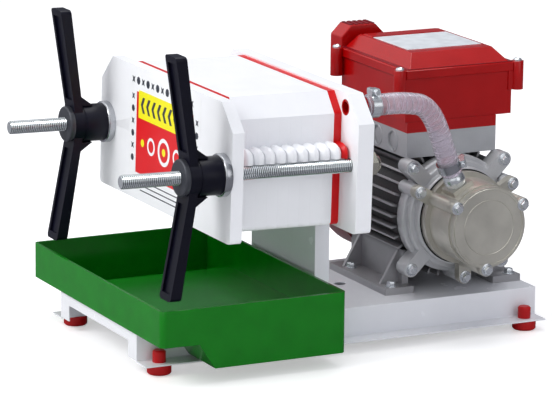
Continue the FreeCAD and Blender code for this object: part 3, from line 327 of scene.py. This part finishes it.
# Finish of each CAD node that shows; the rods, their nuts and the hose are replaced further down
FINISH = {
    "base_chassis": "white_paint", "head_bracket": "white_paint",
    "foot_front_near": "red_rubber", "foot_front_far": "red_rubber",
    "foot_rear_near": "red_rubber", "foot_rear_far": "red_rubber",
    "drip_tray": "green_plastic", "head_plate": "white_plastic", "pressure_plate": "white_plastic",
    "red_plate_rear": "red_plate", "red_plate_front": "red_plate",
    "washer_near": "washer_steel", "washer_far": "washer_steel",
    "handle_near": "black_plastic", "handle_far": "black_plastic",
    "handle_insert_near": "insert_steel", "handle_insert_far": "insert_steel",
    "motor_frame": "frame_aluminium", "motor_end_shield": "cast_aluminium",
    "fan_cover": "dark_red_paint", "pump_body": "pump_alloy", "pump_cover": "pump_alloy",
    "port_elbow": "bolt_steel", "terminal_base": "grey_plastic", "control_box": "red_plastic",
    "control_box_lid": "red_plastic", "switch_housing": "red_plastic", "nameplate": "label_metal",
    "hose_tail": "red_plastic",
    "hose_clamp_head": "bolt_steel", "hose_clamp_pump": "washer_steel",
}
PLATE_NODES = [f"filter_plate_{number}" for number in range(1, 10)]
FINISH.update({node: "white_plastic" for node in PLATE_NODES})

# Width of the small round on each node's edges, in millimetres; the nodes left out stay sharp
EDGE_ROUND = {
    "pressure_plate": 1.2, "head_plate": 1.2, "drip_tray": 0.9, "base_chassis": 0.4,
    "head_bracket": 0.6, "control_box": 0.4, "control_box_lid": 1.0, "switch_housing": 1.2,
    "handle_near": 1.3, "handle_far": 1.3, "motor_end_shield": 0.8, "pump_body": 0.8,
    "pump_cover": 1.2, "terminal_base": 0.8, "motor_frame": 0.3, "washer_near": 0.4,
    "washer_far": 0.4, "red_plate_rear": 0.5, "red_plate_front": 0.5, "nameplate": 0.2,
    "handle_insert_near": 0.6, "handle_insert_far": 0.6,
    "foot_front_near": 0.6, "foot_front_far": 0.6, "foot_rear_near": 0.6, "foot_rear_far": 0.6,
}
EDGE_ROUND.update({node: 0.8 for node in PLATE_NODES})


WELD_DISTANCE = 1e-6
ROUND_FROM_ANGLE = 32


def round_edges(piece, width):
    weld = piece.modifiers.new("weld", "WELD")
    weld.merge_threshold = WELD_DISTANCE
    bevel = piece.modifiers.new("edge_round", "BEVEL")
    bevel.width = width * MM
    bevel.segments = 2
    bevel.limit_method = "ANGLE"
    bevel.angle_limit = math.radians(ROUND_FROM_ANGLE)
    bevel.use_clamp_overlap = True


def finish_nodes():
    for node, finish in FINISH.items():
        mesh = NODES[node].data
        mesh.materials.clear()
        mesh.materials.append(MATERIALS[finish])
    for node, width in EDGE_ROUND.items():
        round_edges(NODES[node], width)


# ---------------------------------------------------------------- building blocks

def add_piece(name, mesh, finish, body):
    """Link a new piece, give it a finish and have it ride on a body."""
    piece = bpy.data.objects.new(name, mesh)
    bpy.context.scene.collection.objects.link(piece)
    mesh.materials.append(MATERIALS[finish])
    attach(piece, body)
    return piece


def shade_by_angle(mesh, degrees=35):
    """Shade smooth wherever faces meet at a shallow angle."""
    mesh.polygons.foreach_set("use_smooth", [True] * len(mesh.polygons))
    mesh.set_sharp_from_angle(angle=math.radians(degrees))


def square_axes(along):
    """Two directions at right angles to the given one and to each other."""
    aside = along.orthogonal().normalized()
    return aside, along.cross(aside).normalized()


class Builder:
    """Collects turned and extruded forms into one mesh. Points are in metres."""

    def __init__(self):
        self.verts = []
        self.faces = []

    def ring(self, centre, u, v, radius, count, phase=0.0):
        first = len(self.verts)
        for index in range(count):
            angle = phase + 2 * math.pi * index / count
            self.verts.append(centre + u * (radius * math.cos(angle)) + v * (radius * math.sin(angle)))
        return list(range(first, first + count))

    def bridge(self, one, other):
        count = len(one)
        for index in range(count):
            after = (index + 1) % count
            self.faces.append((one[index], one[after], other[after], other[index]))

    def turned(self, base, along, profile, count=24, phase=0.0):
        """Turn a profile of (distance along, radius) pairs in millimetres, closed at both ends."""
        u, v = square_axes(along)
        rings = [self.ring(base + along * (reach * MM), u, v, radius * MM, count, phase)
                 for reach, radius in profile]
        for one, other in zip(rings, rings[1:]):
            self.bridge(one, other)
        self.faces.append(tuple(reversed(rings[0])))
        self.faces.append(tuple(rings[-1]))

    def loop(self, base, along, profile, count):
        """Turn a closed profile of (distance along, radius) pairs into a ring."""
        u, v = square_axes(along)
        rings = [self.ring(base + along * (reach * MM), u, v, radius * MM, count)
                 for reach, radius in profile]
        for one, other in zip(rings, rings[1:] + rings[:1]):
            self.bridge(one, other)

    def block(self, centre, u, v, w, size):
        """A block with cut corners, its three sizes in millimetres along u, v and w."""
        half = [side * MM / 2 for side in size]
        cut = min(half[0], half[1]) * 0.3
        outline = [(half[0] - cut, -half[1]), (half[0], -half[1] + cut), (half[0], half[1] - cut),
                   (half[0] - cut, half[1]), (-half[0] + cut, half[1]), (-half[0], half[1] - cut),
                   (-half[0], -half[1] + cut), (-half[0] + cut, -half[1])]
        levels = []
        for level in (-half[2], half[2]):
            first = len(self.verts)
            self.verts.extend(centre + u * x + v * y + w * level for x, y in outline)
            levels.append(list(range(first, first + len(outline))))
        self.bridge(levels[0], levels[1])
        self.faces.append(tuple(reversed(levels[0])))
        self.faces.append(tuple(levels[1]))

    def mesh(self, name):
        mesh = bpy.data.meshes.new(name)
        mesh.from_pydata(self.verts, [], self.faces)
        mesh.validate()
        work = bmesh.new()
        work.from_mesh(mesh)
        bmesh.ops.recalc_face_normals(work, faces=work.faces)
        work.to_mesh(mesh)
        work.free()
        shade_by_angle(mesh)
        return mesh


BOLT_ACROSS = 8
WASHER_THICK = 1.1


def add_hex_bolt(builder, seat, along):
    """A hexagon head with a chamfered top on a round washer, seated on a face."""
    across = BOLT_ACROSS
    tip = across / math.sqrt(3)
    builder.turned(seat, along, [(0, across * 0.80), (WASHER_THICK - 0.2, across * 0.80),
                                 (WASHER_THICK, across * 0.74)])
    builder.turned(seat + along * (WASHER_THICK * MM), along,
                   [(0, tip), (across * 0.42, tip), (across * 0.55, tip * 0.84)], count=6)
    builder.turned(seat + along * ((WASHER_THICK + across * 0.54) * MM), along,
                   [(0, tip * 0.72), (0.2, tip * 0.66)], count=16)


def add_pan_screw(builder, seat, along, radius):
    """A domed screw head with a raised rim round its drive."""
    builder.turned(seat, along, [(0, radius), (radius * 0.3, radius), (radius * 0.55, radius * 0.8),
                                 (radius * 0.66, radius * 0.5), (radius * 0.5, radius * 0.42),
                                 (radius * 0.45, radius * 0.1)])


# ---------------------------------------------------------------- threaded rods

ROD_RADIUS = 7.0
ROD_REACH = 242.5
ROD_TAIL = 28.0
ROD_BEVEL = 1.2
THREAD_PITCH = 2.0
THREAD_DEPTH = 1.0
ROOT_SHARE = 0.4
STEPS_A_TURN = 6
ROD_SIDES = 28


def make_rod(name, side, node):
    """A rod with a helical thread: rings whose radius follows the thread's phase."""
    verts = []
    faces = []
    steps = int((ROD_REACH + ROD_TAIL) / THREAD_PITCH * STEPS_A_TURN)
    for step in range(steps + 1):
        along = -ROD_REACH + (ROD_REACH + ROD_TAIL) * step / steps
        from_end = along + ROD_REACH
        limit = ROD_RADIUS - max(0.0, ROD_BEVEL - from_end)
        for index in range(ROD_SIDES):
            turn = index / ROD_SIDES
            phase = (along / THREAD_PITCH + turn) % 1
            groove = THREAD_DEPTH * (1 - abs(2 * phase - 1))
            radius = min(limit, ROD_RADIUS - groove)
            angle = 2 * math.pi * turn
            verts.append(in_press(along, side + radius * math.cos(angle), radius * math.sin(angle)))
    for step in range(steps):
        for index in range(ROD_SIDES):
            after = (index + 1) % ROD_SIDES
            one = step * ROD_SIDES
            faces.append((one + index, one + after, one + ROD_SIDES + after, one + ROD_SIDES + index))
    faces.append(tuple(range(ROD_SIDES)))
    faces.append(tuple(reversed(range(steps * ROD_SIDES, (steps + 1) * ROD_SIDES))))
    mesh = bpy.data.meshes.new(name)
    mesh.from_pydata(verts, [], faces)
    mesh.polygons.foreach_set("use_smooth", [True] * len(mesh.polygons))
    mesh.set_sharp_from_angle(angle=math.radians(60))
    rod = add_piece(name, mesh, "zinc_steel", "base")
    # The thread's grooves take a dark second finish: painted shade in the roots
    mesh.materials.append(MATERIALS["thread_root_shade"])
    for step in range(steps):
        along = -ROD_REACH + (ROD_REACH + ROD_TAIL) * (step + 0.5) / steps
        for index in range(ROD_SIDES):
            phase = (along / THREAD_PITCH + (index + 0.5) / ROD_SIDES) % 1
            if abs(2 * phase - 1) < ROOT_SHARE:
                mesh.polygons[step * ROD_SIDES + index].material_index = 1
    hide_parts(node)


NUT_SEAT = 17
NUT_ACROSS = 22
NUT_HEIGHT = 10
DOME_RADIUS = 9.4
DOME_REACH = 16.4
DOME_STEPS = 8
DOME_STEP_ANGLE = 11


def make_cap_nut(name, side, node):
    """A hexagon nut with a rounded cap that closes over the rod's rear end."""
    nut = Builder()
    seat = in_press(NUT_SEAT, side, 0)
    tip = NUT_ACROSS / math.sqrt(3)
    nut.turned(seat, -OUTWARD, [(0, tip - 1), (0.8, tip), (NUT_HEIGHT - 1.2, tip), (NUT_HEIGHT, tip - 1.6)],
               count=6)
    dome = [(NUT_HEIGHT - 0.1, DOME_RADIUS)]
    for step in range(1, DOME_STEPS + 1):
        angle = math.radians(DOME_STEP_ANGLE * step)
        dome.append((NUT_HEIGHT + (DOME_REACH - NUT_HEIGHT) * math.sin(angle), DOME_RADIUS * math.cos(angle)))
    nut.turned(seat, -OUTWARD, dome, count=32)
    piece = add_piece(name, nut.mesh(name), "brass", "base")
    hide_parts(node)


# ---------------------------------------------------------------- bolts and screws

TOWARDS_USER = Vector((0, -1, 0))
UP = Vector((0, 0, 1))
SHIELD_FRONT = -70
FLANGE_FRONT = -87
COVER_FRONT = -133
TIE_BOLT_SPREAD = 52
FLANGE_BOLT_CIRCLE = 61
COVER_BOLT_CIRCLE = 43
FLANGE_BOLT_TURN = 30
COVER_BOLT_TURN = 28
SHOE_TOP = 47
SHOE_BOLT_X = 68
SHOE_BOLT_Y = (-57, 30)
BOX_LUG_TOP = 267
BOX_SCREW_X = (-60.5, 74.5)
BOX_SCREW_Y = (-53, 83)
BOX_SCREW_RADIUS = 4.4


def third_turns(circle, turn):
    """Three places on a circle about the motor's axis, a third of a turn apart."""
    angles = [math.radians(turn + 120 * index) for index in range(3)]
    return [(circle * math.cos(angle), circle * math.sin(angle)) for angle in angles]


def make_motor_bolts():
    """Bolts of the motor's shield and feet, of the pump's flange, and of its cover."""
    ties = Builder()
    for x in (-TIE_BOLT_SPREAD, TIE_BOLT_SPREAD):
        for z in (-TIE_BOLT_SPREAD, TIE_BOLT_SPREAD):
            add_hex_bolt(ties, on_motor(x, SHIELD_FRONT, z), TOWARDS_USER)
    for x, z in third_turns(FLANGE_BOLT_CIRCLE, FLANGE_BOLT_TURN):
        add_hex_bolt(ties, on_motor(x, FLANGE_FRONT, z), TOWARDS_USER)
    add_piece("motor_bolts", ties.mesh("motor_bolts"), "bolt_steel", "base")
    covers = Builder()
    for x, z in third_turns(COVER_BOLT_CIRCLE, COVER_BOLT_TURN):
        add_hex_bolt(covers, on_motor(x, COVER_FRONT, z), TOWARDS_USER)
    add_piece("pump_cover_bolts", covers.mesh("pump_cover_bolts"), "bolt_steel", "base")
    feet = Builder()
    for x in (-SHOE_BOLT_X, SHOE_BOLT_X):
        for y in SHOE_BOLT_Y:
            seat = Vector((MOTOR_AT + x * MM, y * MM, SHOE_TOP * MM))
            add_hex_bolt(feet, seat, UP)
    add_piece("motor_foot_bolts", feet.mesh("motor_foot_bolts"), "bolt_steel", "base")


# Inner radius, outer radius and height of each ring on the pump's cover
COVER_RINGS = ((37.5, 39.8, 0.9), (27.2, 28.4, 0.5))


def make_cover_rings():
    """A raised rim and an inner ring on the pump's cover."""
    rings = Builder()
    for inner, outer, height in COVER_RINGS:
        profile = [(0, outer), (height, outer - 0.4), (height, inner + 0.4), (0, inner)]
        rings.loop(on_motor(0, COVER_FRONT, 0), TOWARDS_USER, profile, 72)
    add_piece("pump_cover_rings", rings.mesh("pump_cover_rings"), "pump_alloy", "base")


BOX_LEFT = -55
BOX_RIGHT = 69
BOX_NEAR = -55
BOX_FAR = 85
BOX_CORNER_CUT = 2.5
RIM_HEIGHT = 9.5
KNOCKOUT_FACE = -52
KNOCKOUT_Y = (8, -25)
KNOCKOUT_DEPTH = 2.4
KNOCKOUT_HEIGHT = 71.75
KNOCKOUT_RADIUS = 9.5


def box_loop(out, z):
    """Corners, cut a little, of a rectangle that stands out from the control box by a distance."""
    cut = BOX_CORNER_CUT
    left, right = BOX_LEFT - out, BOX_RIGHT + out
    near, far = BOX_NEAR - out, BOX_FAR + out
    corners = [(left + cut, near), (right - cut, near), (right, near + cut), (right, far - cut),
               (right - cut, far), (left + cut, far), (left, far - cut), (left, near + cut)]
    return [Vector((MOTOR_AT + x * MM, y * MM, z * MM)) for x, y in corners]


def make_box_band(name, profile, finish):
    """A band round the control box from a closed profile of (height, distance out) pairs."""
    band = Builder()
    loops = []
    for z, out in profile:
        first = len(band.verts)
        band.verts.extend(box_loop(out, z))
        loops.append(list(range(first, len(band.verts))))
    for one, other in zip(loops, loops[1:] + loops[:1]):
        band.bridge(one, other)
    add_piece(name, band.mesh(name), finish, "base")


def make_box_bands():
    """The proud rim at the top of the box, and a dark band of painted shade in the seam between it and the
    lid.
    """
    top = BOX_LUG_TOP
    low = top - RIM_HEIGHT
    make_box_band("box_rim_band", [(low, -1.5), (low, 0.7), (low + 0.7, 1.3), (top - 1.2, 1.3),
                                   (top - 0.4, 0.6), (top - 0.4, -1.5)], "red_plastic")
    make_box_band("lid_seam_shade", [(top - 0.5, -6), (top - 0.5, -0.4), (top + 0.4, -0.4),
                               (top + 0.4, -6)], "dark_red_paint")


def make_knockouts():
    """Thin moulded rims and blanking discs of the two cable entries."""
    towards_press = Vector((-1, 0, 0))
    radius = KNOCKOUT_RADIUS
    rims = Builder()
    discs = Builder()
    for y in KNOCKOUT_Y:
        seat = on_motor(KNOCKOUT_FACE, y, KNOCKOUT_HEIGHT)
        rims.loop(seat, towards_press,
                  [(0, radius + 1.6), (0.7, radius + 1.3), (0.7, radius + 0.2), (0, radius)], 40)
        discs.turned(seat - towards_press * (KNOCKOUT_DEPTH * MM), towards_press,
                     [(0, radius - 0.6), (0.5, radius - 0.6), (0.8, radius - 1.2)], 40)
    add_piece("knockout_rims", rims.mesh("knockout_rims"), "grey_plastic", "base")
    add_piece("knockout_discs", discs.mesh("knockout_discs"), "grey_plastic", "base")


SWITCH_TOP = 288
SWITCH_FRONT = 85
SWITCH_DEPTH = 25
RIDGE_COUNT = 5
RIDGE_FIRST = -41
RIDGE_STEP = 6.2
RIDGE_SIZE = (3.4, SWITCH_DEPTH - 5, 1.8)


def make_switch_ridges():
    """Grip ridges across the top of the switch housing."""
    ridges = Builder()
    for index in range(RIDGE_COUNT):
        x = RIDGE_FIRST + RIDGE_STEP * index
        seat = Vector((MOTOR_AT + x * MM, (SWITCH_FRONT + SWITCH_DEPTH / 2) * MM, SWITCH_TOP * MM))
        ridges.block(seat, Vector((1, 0, 0)), ACROSS, UP, RIDGE_SIZE)
    add_piece("switch_ridges", ridges.mesh("switch_ridges"), "dark_red_paint", "base")


def make_box_screws():
    """A pan-headed screw on each corner lug of the box."""
    screws = Builder()
    for x in BOX_SCREW_X:
        for y in BOX_SCREW_Y:
            seat = Vector((MOTOR_AT + x * MM, y * MM, BOX_LUG_TOP * MM))
            add_pan_screw(screws, seat, UP, BOX_SCREW_RADIUS)
    add_piece("box_screws", screws.mesh("box_screws"), "bolt_steel", "base")


GASKET_AT = -77.2
GASKET_RADIUS = 48.2
GASKET_THICK = 1.4


def make_gasket():
    """The black gasket between the motor's shield and the pump."""
    ring = Builder()
    ring.turned(on_motor(0, GASKET_AT, 0), TOWARDS_USER,
                [(0, GASKET_RADIUS), (GASKET_THICK, GASKET_RADIUS)], count=64)
    add_piece("pump_gasket", ring.mesh("pump_gasket"), "black_rubber", "base")


# ---------------------------------------------------------------- hose

HOSE_OUTER = 10.7
HOSE_INNER = 8.0
HOSE_SIDES = 40
HOSE_STRAIGHT = 14
COIL_RADIUS = 9.6
COIL_WIRE = 0.5
COIL_PITCH = 6.4
COIL_STEPS_A_TURN = 20
HOSE_START = in_press(21, -124, 55)
HOSE_OVER = in_press(63, -124, 56)
ELBOW = on_motor(-24.97, -105, 45.04)
HOSE_DROP = Vector((-37, -10, 75)) * MM
HOSE_BEND = ELBOW + HOSE_DROP * 1.04 + Vector((4, 0, 2)) * MM
HOSE_END = ELBOW + HOSE_DROP.normalized() * (8.8 * MM)


def hose_line():
    """Points along the hose's smooth line."""
    first = (HOSE_OVER - HOSE_START).normalized() * (HOSE_STRAIGHT * MM)
    last = (HOSE_BEND - HOSE_END).normalized() * (HOSE_STRAIGHT * MM)
    route = [HOSE_START, HOSE_START + first, HOSE_OVER, HOSE_BEND, HOSE_END + last, HOSE_END]
    curve = bpy.data.curves.new("hose_line", "CURVE")
    curve.dimensions = "3D"
    curve.resolution_u = 32
    spline = curve.splines.new("NURBS")
    spline.points.add(len(route) - 1)
    for point, place in zip(spline.points, route):
        point.co = (*place, 1)
    spline.order_u = 3
    spline.use_endpoint_u = True
    holder = bpy.data.objects.new("hose_line", curve)
    points = [vertex.co.copy() for vertex in bpy.data.meshes.new_from_object(holder).vertices]
    bpy.data.objects.remove(holder)
    return points


def carried_frames(points):
    """Side and up directions that turn as little as they can along a line of points."""
    frames = []
    side = None
    for index, point in enumerate(points):
        before = points[max(index - 1, 0)]
        after = points[min(index + 1, len(points) - 1)]
        along = (after - before).normalized()
        if side is None:
            side = along.orthogonal().normalized()
        side = (side - along * side.dot(along)).normalized()
        frames.append((point, side, along.cross(side).normalized()))
    return frames


def make_hose():
    """The clear hose from the head plate to the pump, with the spiral in its wall."""
    frames = carried_frames(hose_line())
    tube = Builder()
    outer = [tube.ring(point, u, v, HOSE_OUTER * MM, HOSE_SIDES) for point, u, v in frames]
    inner = [tube.ring(point, u, v, HOSE_INNER * MM, HOSE_SIDES) for point, u, v in frames]
    for rings in (outer, inner):
        for one, other in zip(rings, rings[1:]):
            tube.bridge(one, other)
    tube.bridge(outer[0], inner[0])
    tube.bridge(outer[-1], inner[-1])
    hose = add_piece("clear_hose_tube", tube.mesh("clear_hose_tube"), "clear_hose", "base")
    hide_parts("delivery_hose")
    make_hose_coil(frames)


def make_hose_coil(frames):
    """The spiral cord moulded into the wall of the hose."""
    lengths = [0.0]
    for (one, _, _), (other, _, _) in zip(frames, frames[1:]):
        lengths.append(lengths[-1] + (other - one).length)
    steps = int(lengths[-1] / (COIL_PITCH * MM) * COIL_STEPS_A_TURN)
    centres = []
    span = 0
    for step in range(steps + 1):
        reach = lengths[-1] * step / steps
        while span < len(lengths) - 2 and lengths[span + 1] < reach:
            span += 1
        part = (reach - lengths[span]) / (lengths[span + 1] - lengths[span])
        point = frames[span][0].lerp(frames[span + 1][0], part)
        side = frames[span][1].lerp(frames[span + 1][1], part)
        over = frames[span][2].lerp(frames[span + 1][2], part)
        angle = 2 * math.pi * step / COIL_STEPS_A_TURN
        out = side * math.cos(angle) + over * math.sin(angle)
        centres.append(point + out * (COIL_RADIUS * MM))
    coil = Builder()
    rings = [coil.ring(point, u, v, COIL_WIRE * MM, 6) for point, u, v in carried_frames(centres)]
    for one, other in zip(rings, rings[1:]):
        coil.bridge(one, other)
    coil.faces.append(tuple(reversed(rings[0])))
    coil.faces.append(tuple(rings[-1]))
    return add_piece("hose_coil", coil.mesh("hose_coil"), "hose_coil", "base")


CLAMP_REACH = 14.2


def make_clamp_screw(name, node, along, outward):
    """Worm housing and screw that tighten a hose clamp's band."""
    low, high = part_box(node)
    centre = (low + high) / 2
    across = along.cross(outward).normalized()
    seat = centre + outward * (CLAMP_REACH * MM)
    screw = Builder()
    screw.block(seat, across, outward, along, (11, 5.5, 8.5))
    screw.turned(seat - across * (8 * MM), across, [(0, 2.2), (0.6, 2.8), (16, 2.8), (16, 2)], count=16)
    screw.turned(seat + across * (6.5 * MM), across, [(0, 3.4), (3.4, 3.4), (4, 2.9)], count=6)
    add_piece(name, screw.mesh(name), "bolt_steel", "base")


# ---------------------------------------------------------------- label on the pressure plate

# Millimetres across and above the rods on the plate's face; the label is the same on both sides
LABEL_FACE = -134.6
LAYER_STEP = 0.05
LABEL_HALF = 82
LABEL_TOP = 64
LABEL_BOTTOM = -50
PANEL_HALF = 66
PANEL_TOP = 44
PANEL_BOTTOM = -38
BAND_HALF = 61
BAND_TOP = 46
BAND_BOTTOM = 18
BEADS_ON_TOP = 13
BEADS_AT_SIDE = 6
BEAD_MARGIN = 8
LINE_COUNT = 3
CHEVRON_COUNT = 9
RING_HEIGHT = -6
# Place across, radius, radius of the core, and sides of each ring on the red panel
RINGS = ((30, 9, 6, 12), (0, 14, 10, 16), (-30, 9, 6, 12))
SUN_PLACES = (50, 0, -50)
SUN_RADIUS = 4


def rectangle(half, low, high):
    return [(half, low), (-half, low), (-half, high), (half, high)]


def star_shape(y, z, radii, count, phase=0.0):
    """A closed outline whose points lie in turn on the given radii."""
    points = []
    total = count * len(radii)
    for index in range(total):
        angle = math.radians(phase) + 2 * math.pi * index / total
        radius = radii[index % len(radii)]
        points.append((y + radius * math.cos(angle), z + radius * math.sin(angle)))
    return points


def make_print(name, finish, outlines, level):
    """Flat printed shapes on the pressure plate's face, each layer a little in front of the last."""
    verts = []
    faces = []
    back = LABEL_FACE - level * LAYER_STEP
    front = LABEL_FACE - (level + 1) * LAYER_STEP - 0.02
    for outline in outlines:
        first = len(verts)
        count = len(outline)
        verts.extend(in_press(back, y, z) for y, z in outline)
        verts.extend(in_press(front, y, z) for y, z in outline)
        for index in range(count):
            after = (index + 1) % count
            faces.append((first + index, first + after, first + count + after, first + count + index))
        faces.append(tuple(range(first + count, first + 2 * count)))
        faces.append(tuple(reversed(range(first, first + count))))
    mesh = bpy.data.meshes.new(name)
    mesh.from_pydata(verts, [], faces)
    add_piece(name, mesh, finish, "pressure_plate")


def bead_outlines():
    """Dots and four-pointed marks in turn along the label's top and down its sides."""
    beads = []
    for index in range(BEADS_ON_TOP):
        y = LABEL_HALF - BEAD_MARGIN - index * 11.3
        radii = (4.2, 4.2) if index % 2 else (4.8, 2.0)
        beads.append(star_shape(y, LABEL_TOP - 9, radii, 4, 45))
    for side in (1, -1):
        for index in range(BEADS_AT_SIDE):
            z = PANEL_TOP - 6 - index * 12.5
            radii = (3.6, 3.6) if index % 2 else (4.4, 1.8)
            beads.append(star_shape(side * (LABEL_HALF - BEAD_MARGIN), z, radii, 4, 45))
    return beads


def line_outlines():
    """Three plain lines under the panel, each a little shorter than the one above."""
    lines = []
    for row in range(LINE_COUNT):
        low = PANEL_BOTTOM - 7 - row * 5
        left = LABEL_HALF - 16 - 6 * row
        right = -LABEL_HALF + 20 + 6 * row
        lines.append([(left, low), (right, low), (right, low + 1.2), (left, low + 1.2)])
    return lines


def chevron_outlines():
    chevrons = []
    for index in range(CHEVRON_COUNT):
        y = BAND_HALF - 10 - index * 12.7
        chevrons.append([(y, 24), (y + 5, 32), (y, 40), (y - 5, 40), (y, 32), (y - 5, 24)])
    return chevrons


def make_label():
    """A printed sheet: dark beads round a red panel with a yellow band, and no words."""
    make_print("label_sheet", "label_white", [rectangle(LABEL_HALF, LABEL_BOTTOM, LABEL_TOP)], 0)
    make_print("label_panel", "label_red", [rectangle(PANEL_HALF, PANEL_BOTTOM, PANEL_TOP)], 1)
    make_print("label_band", "label_yellow", [rectangle(BAND_HALF, BAND_BOTTOM, BAND_TOP)], 2)
    make_print("label_beads", "label_dark", bead_outlines() + line_outlines(), 1)
    make_print("label_chevrons", "label_dark", chevron_outlines(), 3)
    rings = [star_shape(y, RING_HEIGHT, (outer, outer), sides) for y, outer, _, sides in RINGS]
    make_print("label_rings", "label_white", rings, 2)
    cores = [star_shape(y, RING_HEIGHT, (inner, inner), sides) for y, _, inner, sides in RINGS]
    make_print("label_ring_cores", "label_red", cores, 3)
    suns = [star_shape(y, RING_HEIGHT, (SUN_RADIUS, SUN_RADIUS), 6) for y in SUN_PLACES]
    make_print("label_suns", "label_yellow", suns, 4)


# ---------------------------------------------------------------- the scene

make_camera()
make_world()
make_lights()
make_floor()
finish_nodes()
make_rod("threaded_rod_near", -ROD_SPREAD / MM, "tie_rod_near")
make_rod("threaded_rod_far", ROD_SPREAD / MM, "tie_rod_far")
make_cap_nut("cap_nut_near", -ROD_SPREAD / MM, "rod_nut_near")
make_cap_nut("cap_nut_far", ROD_SPREAD / MM, "rod_nut_far")
make_motor_bolts()
make_cover_rings()
make_box_screws()
make_box_bands()
make_knockouts()
make_switch_ridges()
make_gasket()
make_hose()
make_clamp_screw("clamp_screw_head", "hose_clamp_head", -OUTWARD, PRESS_UP)
make_clamp_screw("clamp_screw_pump", "hose_clamp_pump", HOSE_DROP.normalized(),
                 Vector((0.85, -0.5, 0.3)).normalized())
make_label()

scene = bpy.context.scene
scene.view_settings.view_transform = "Standard"
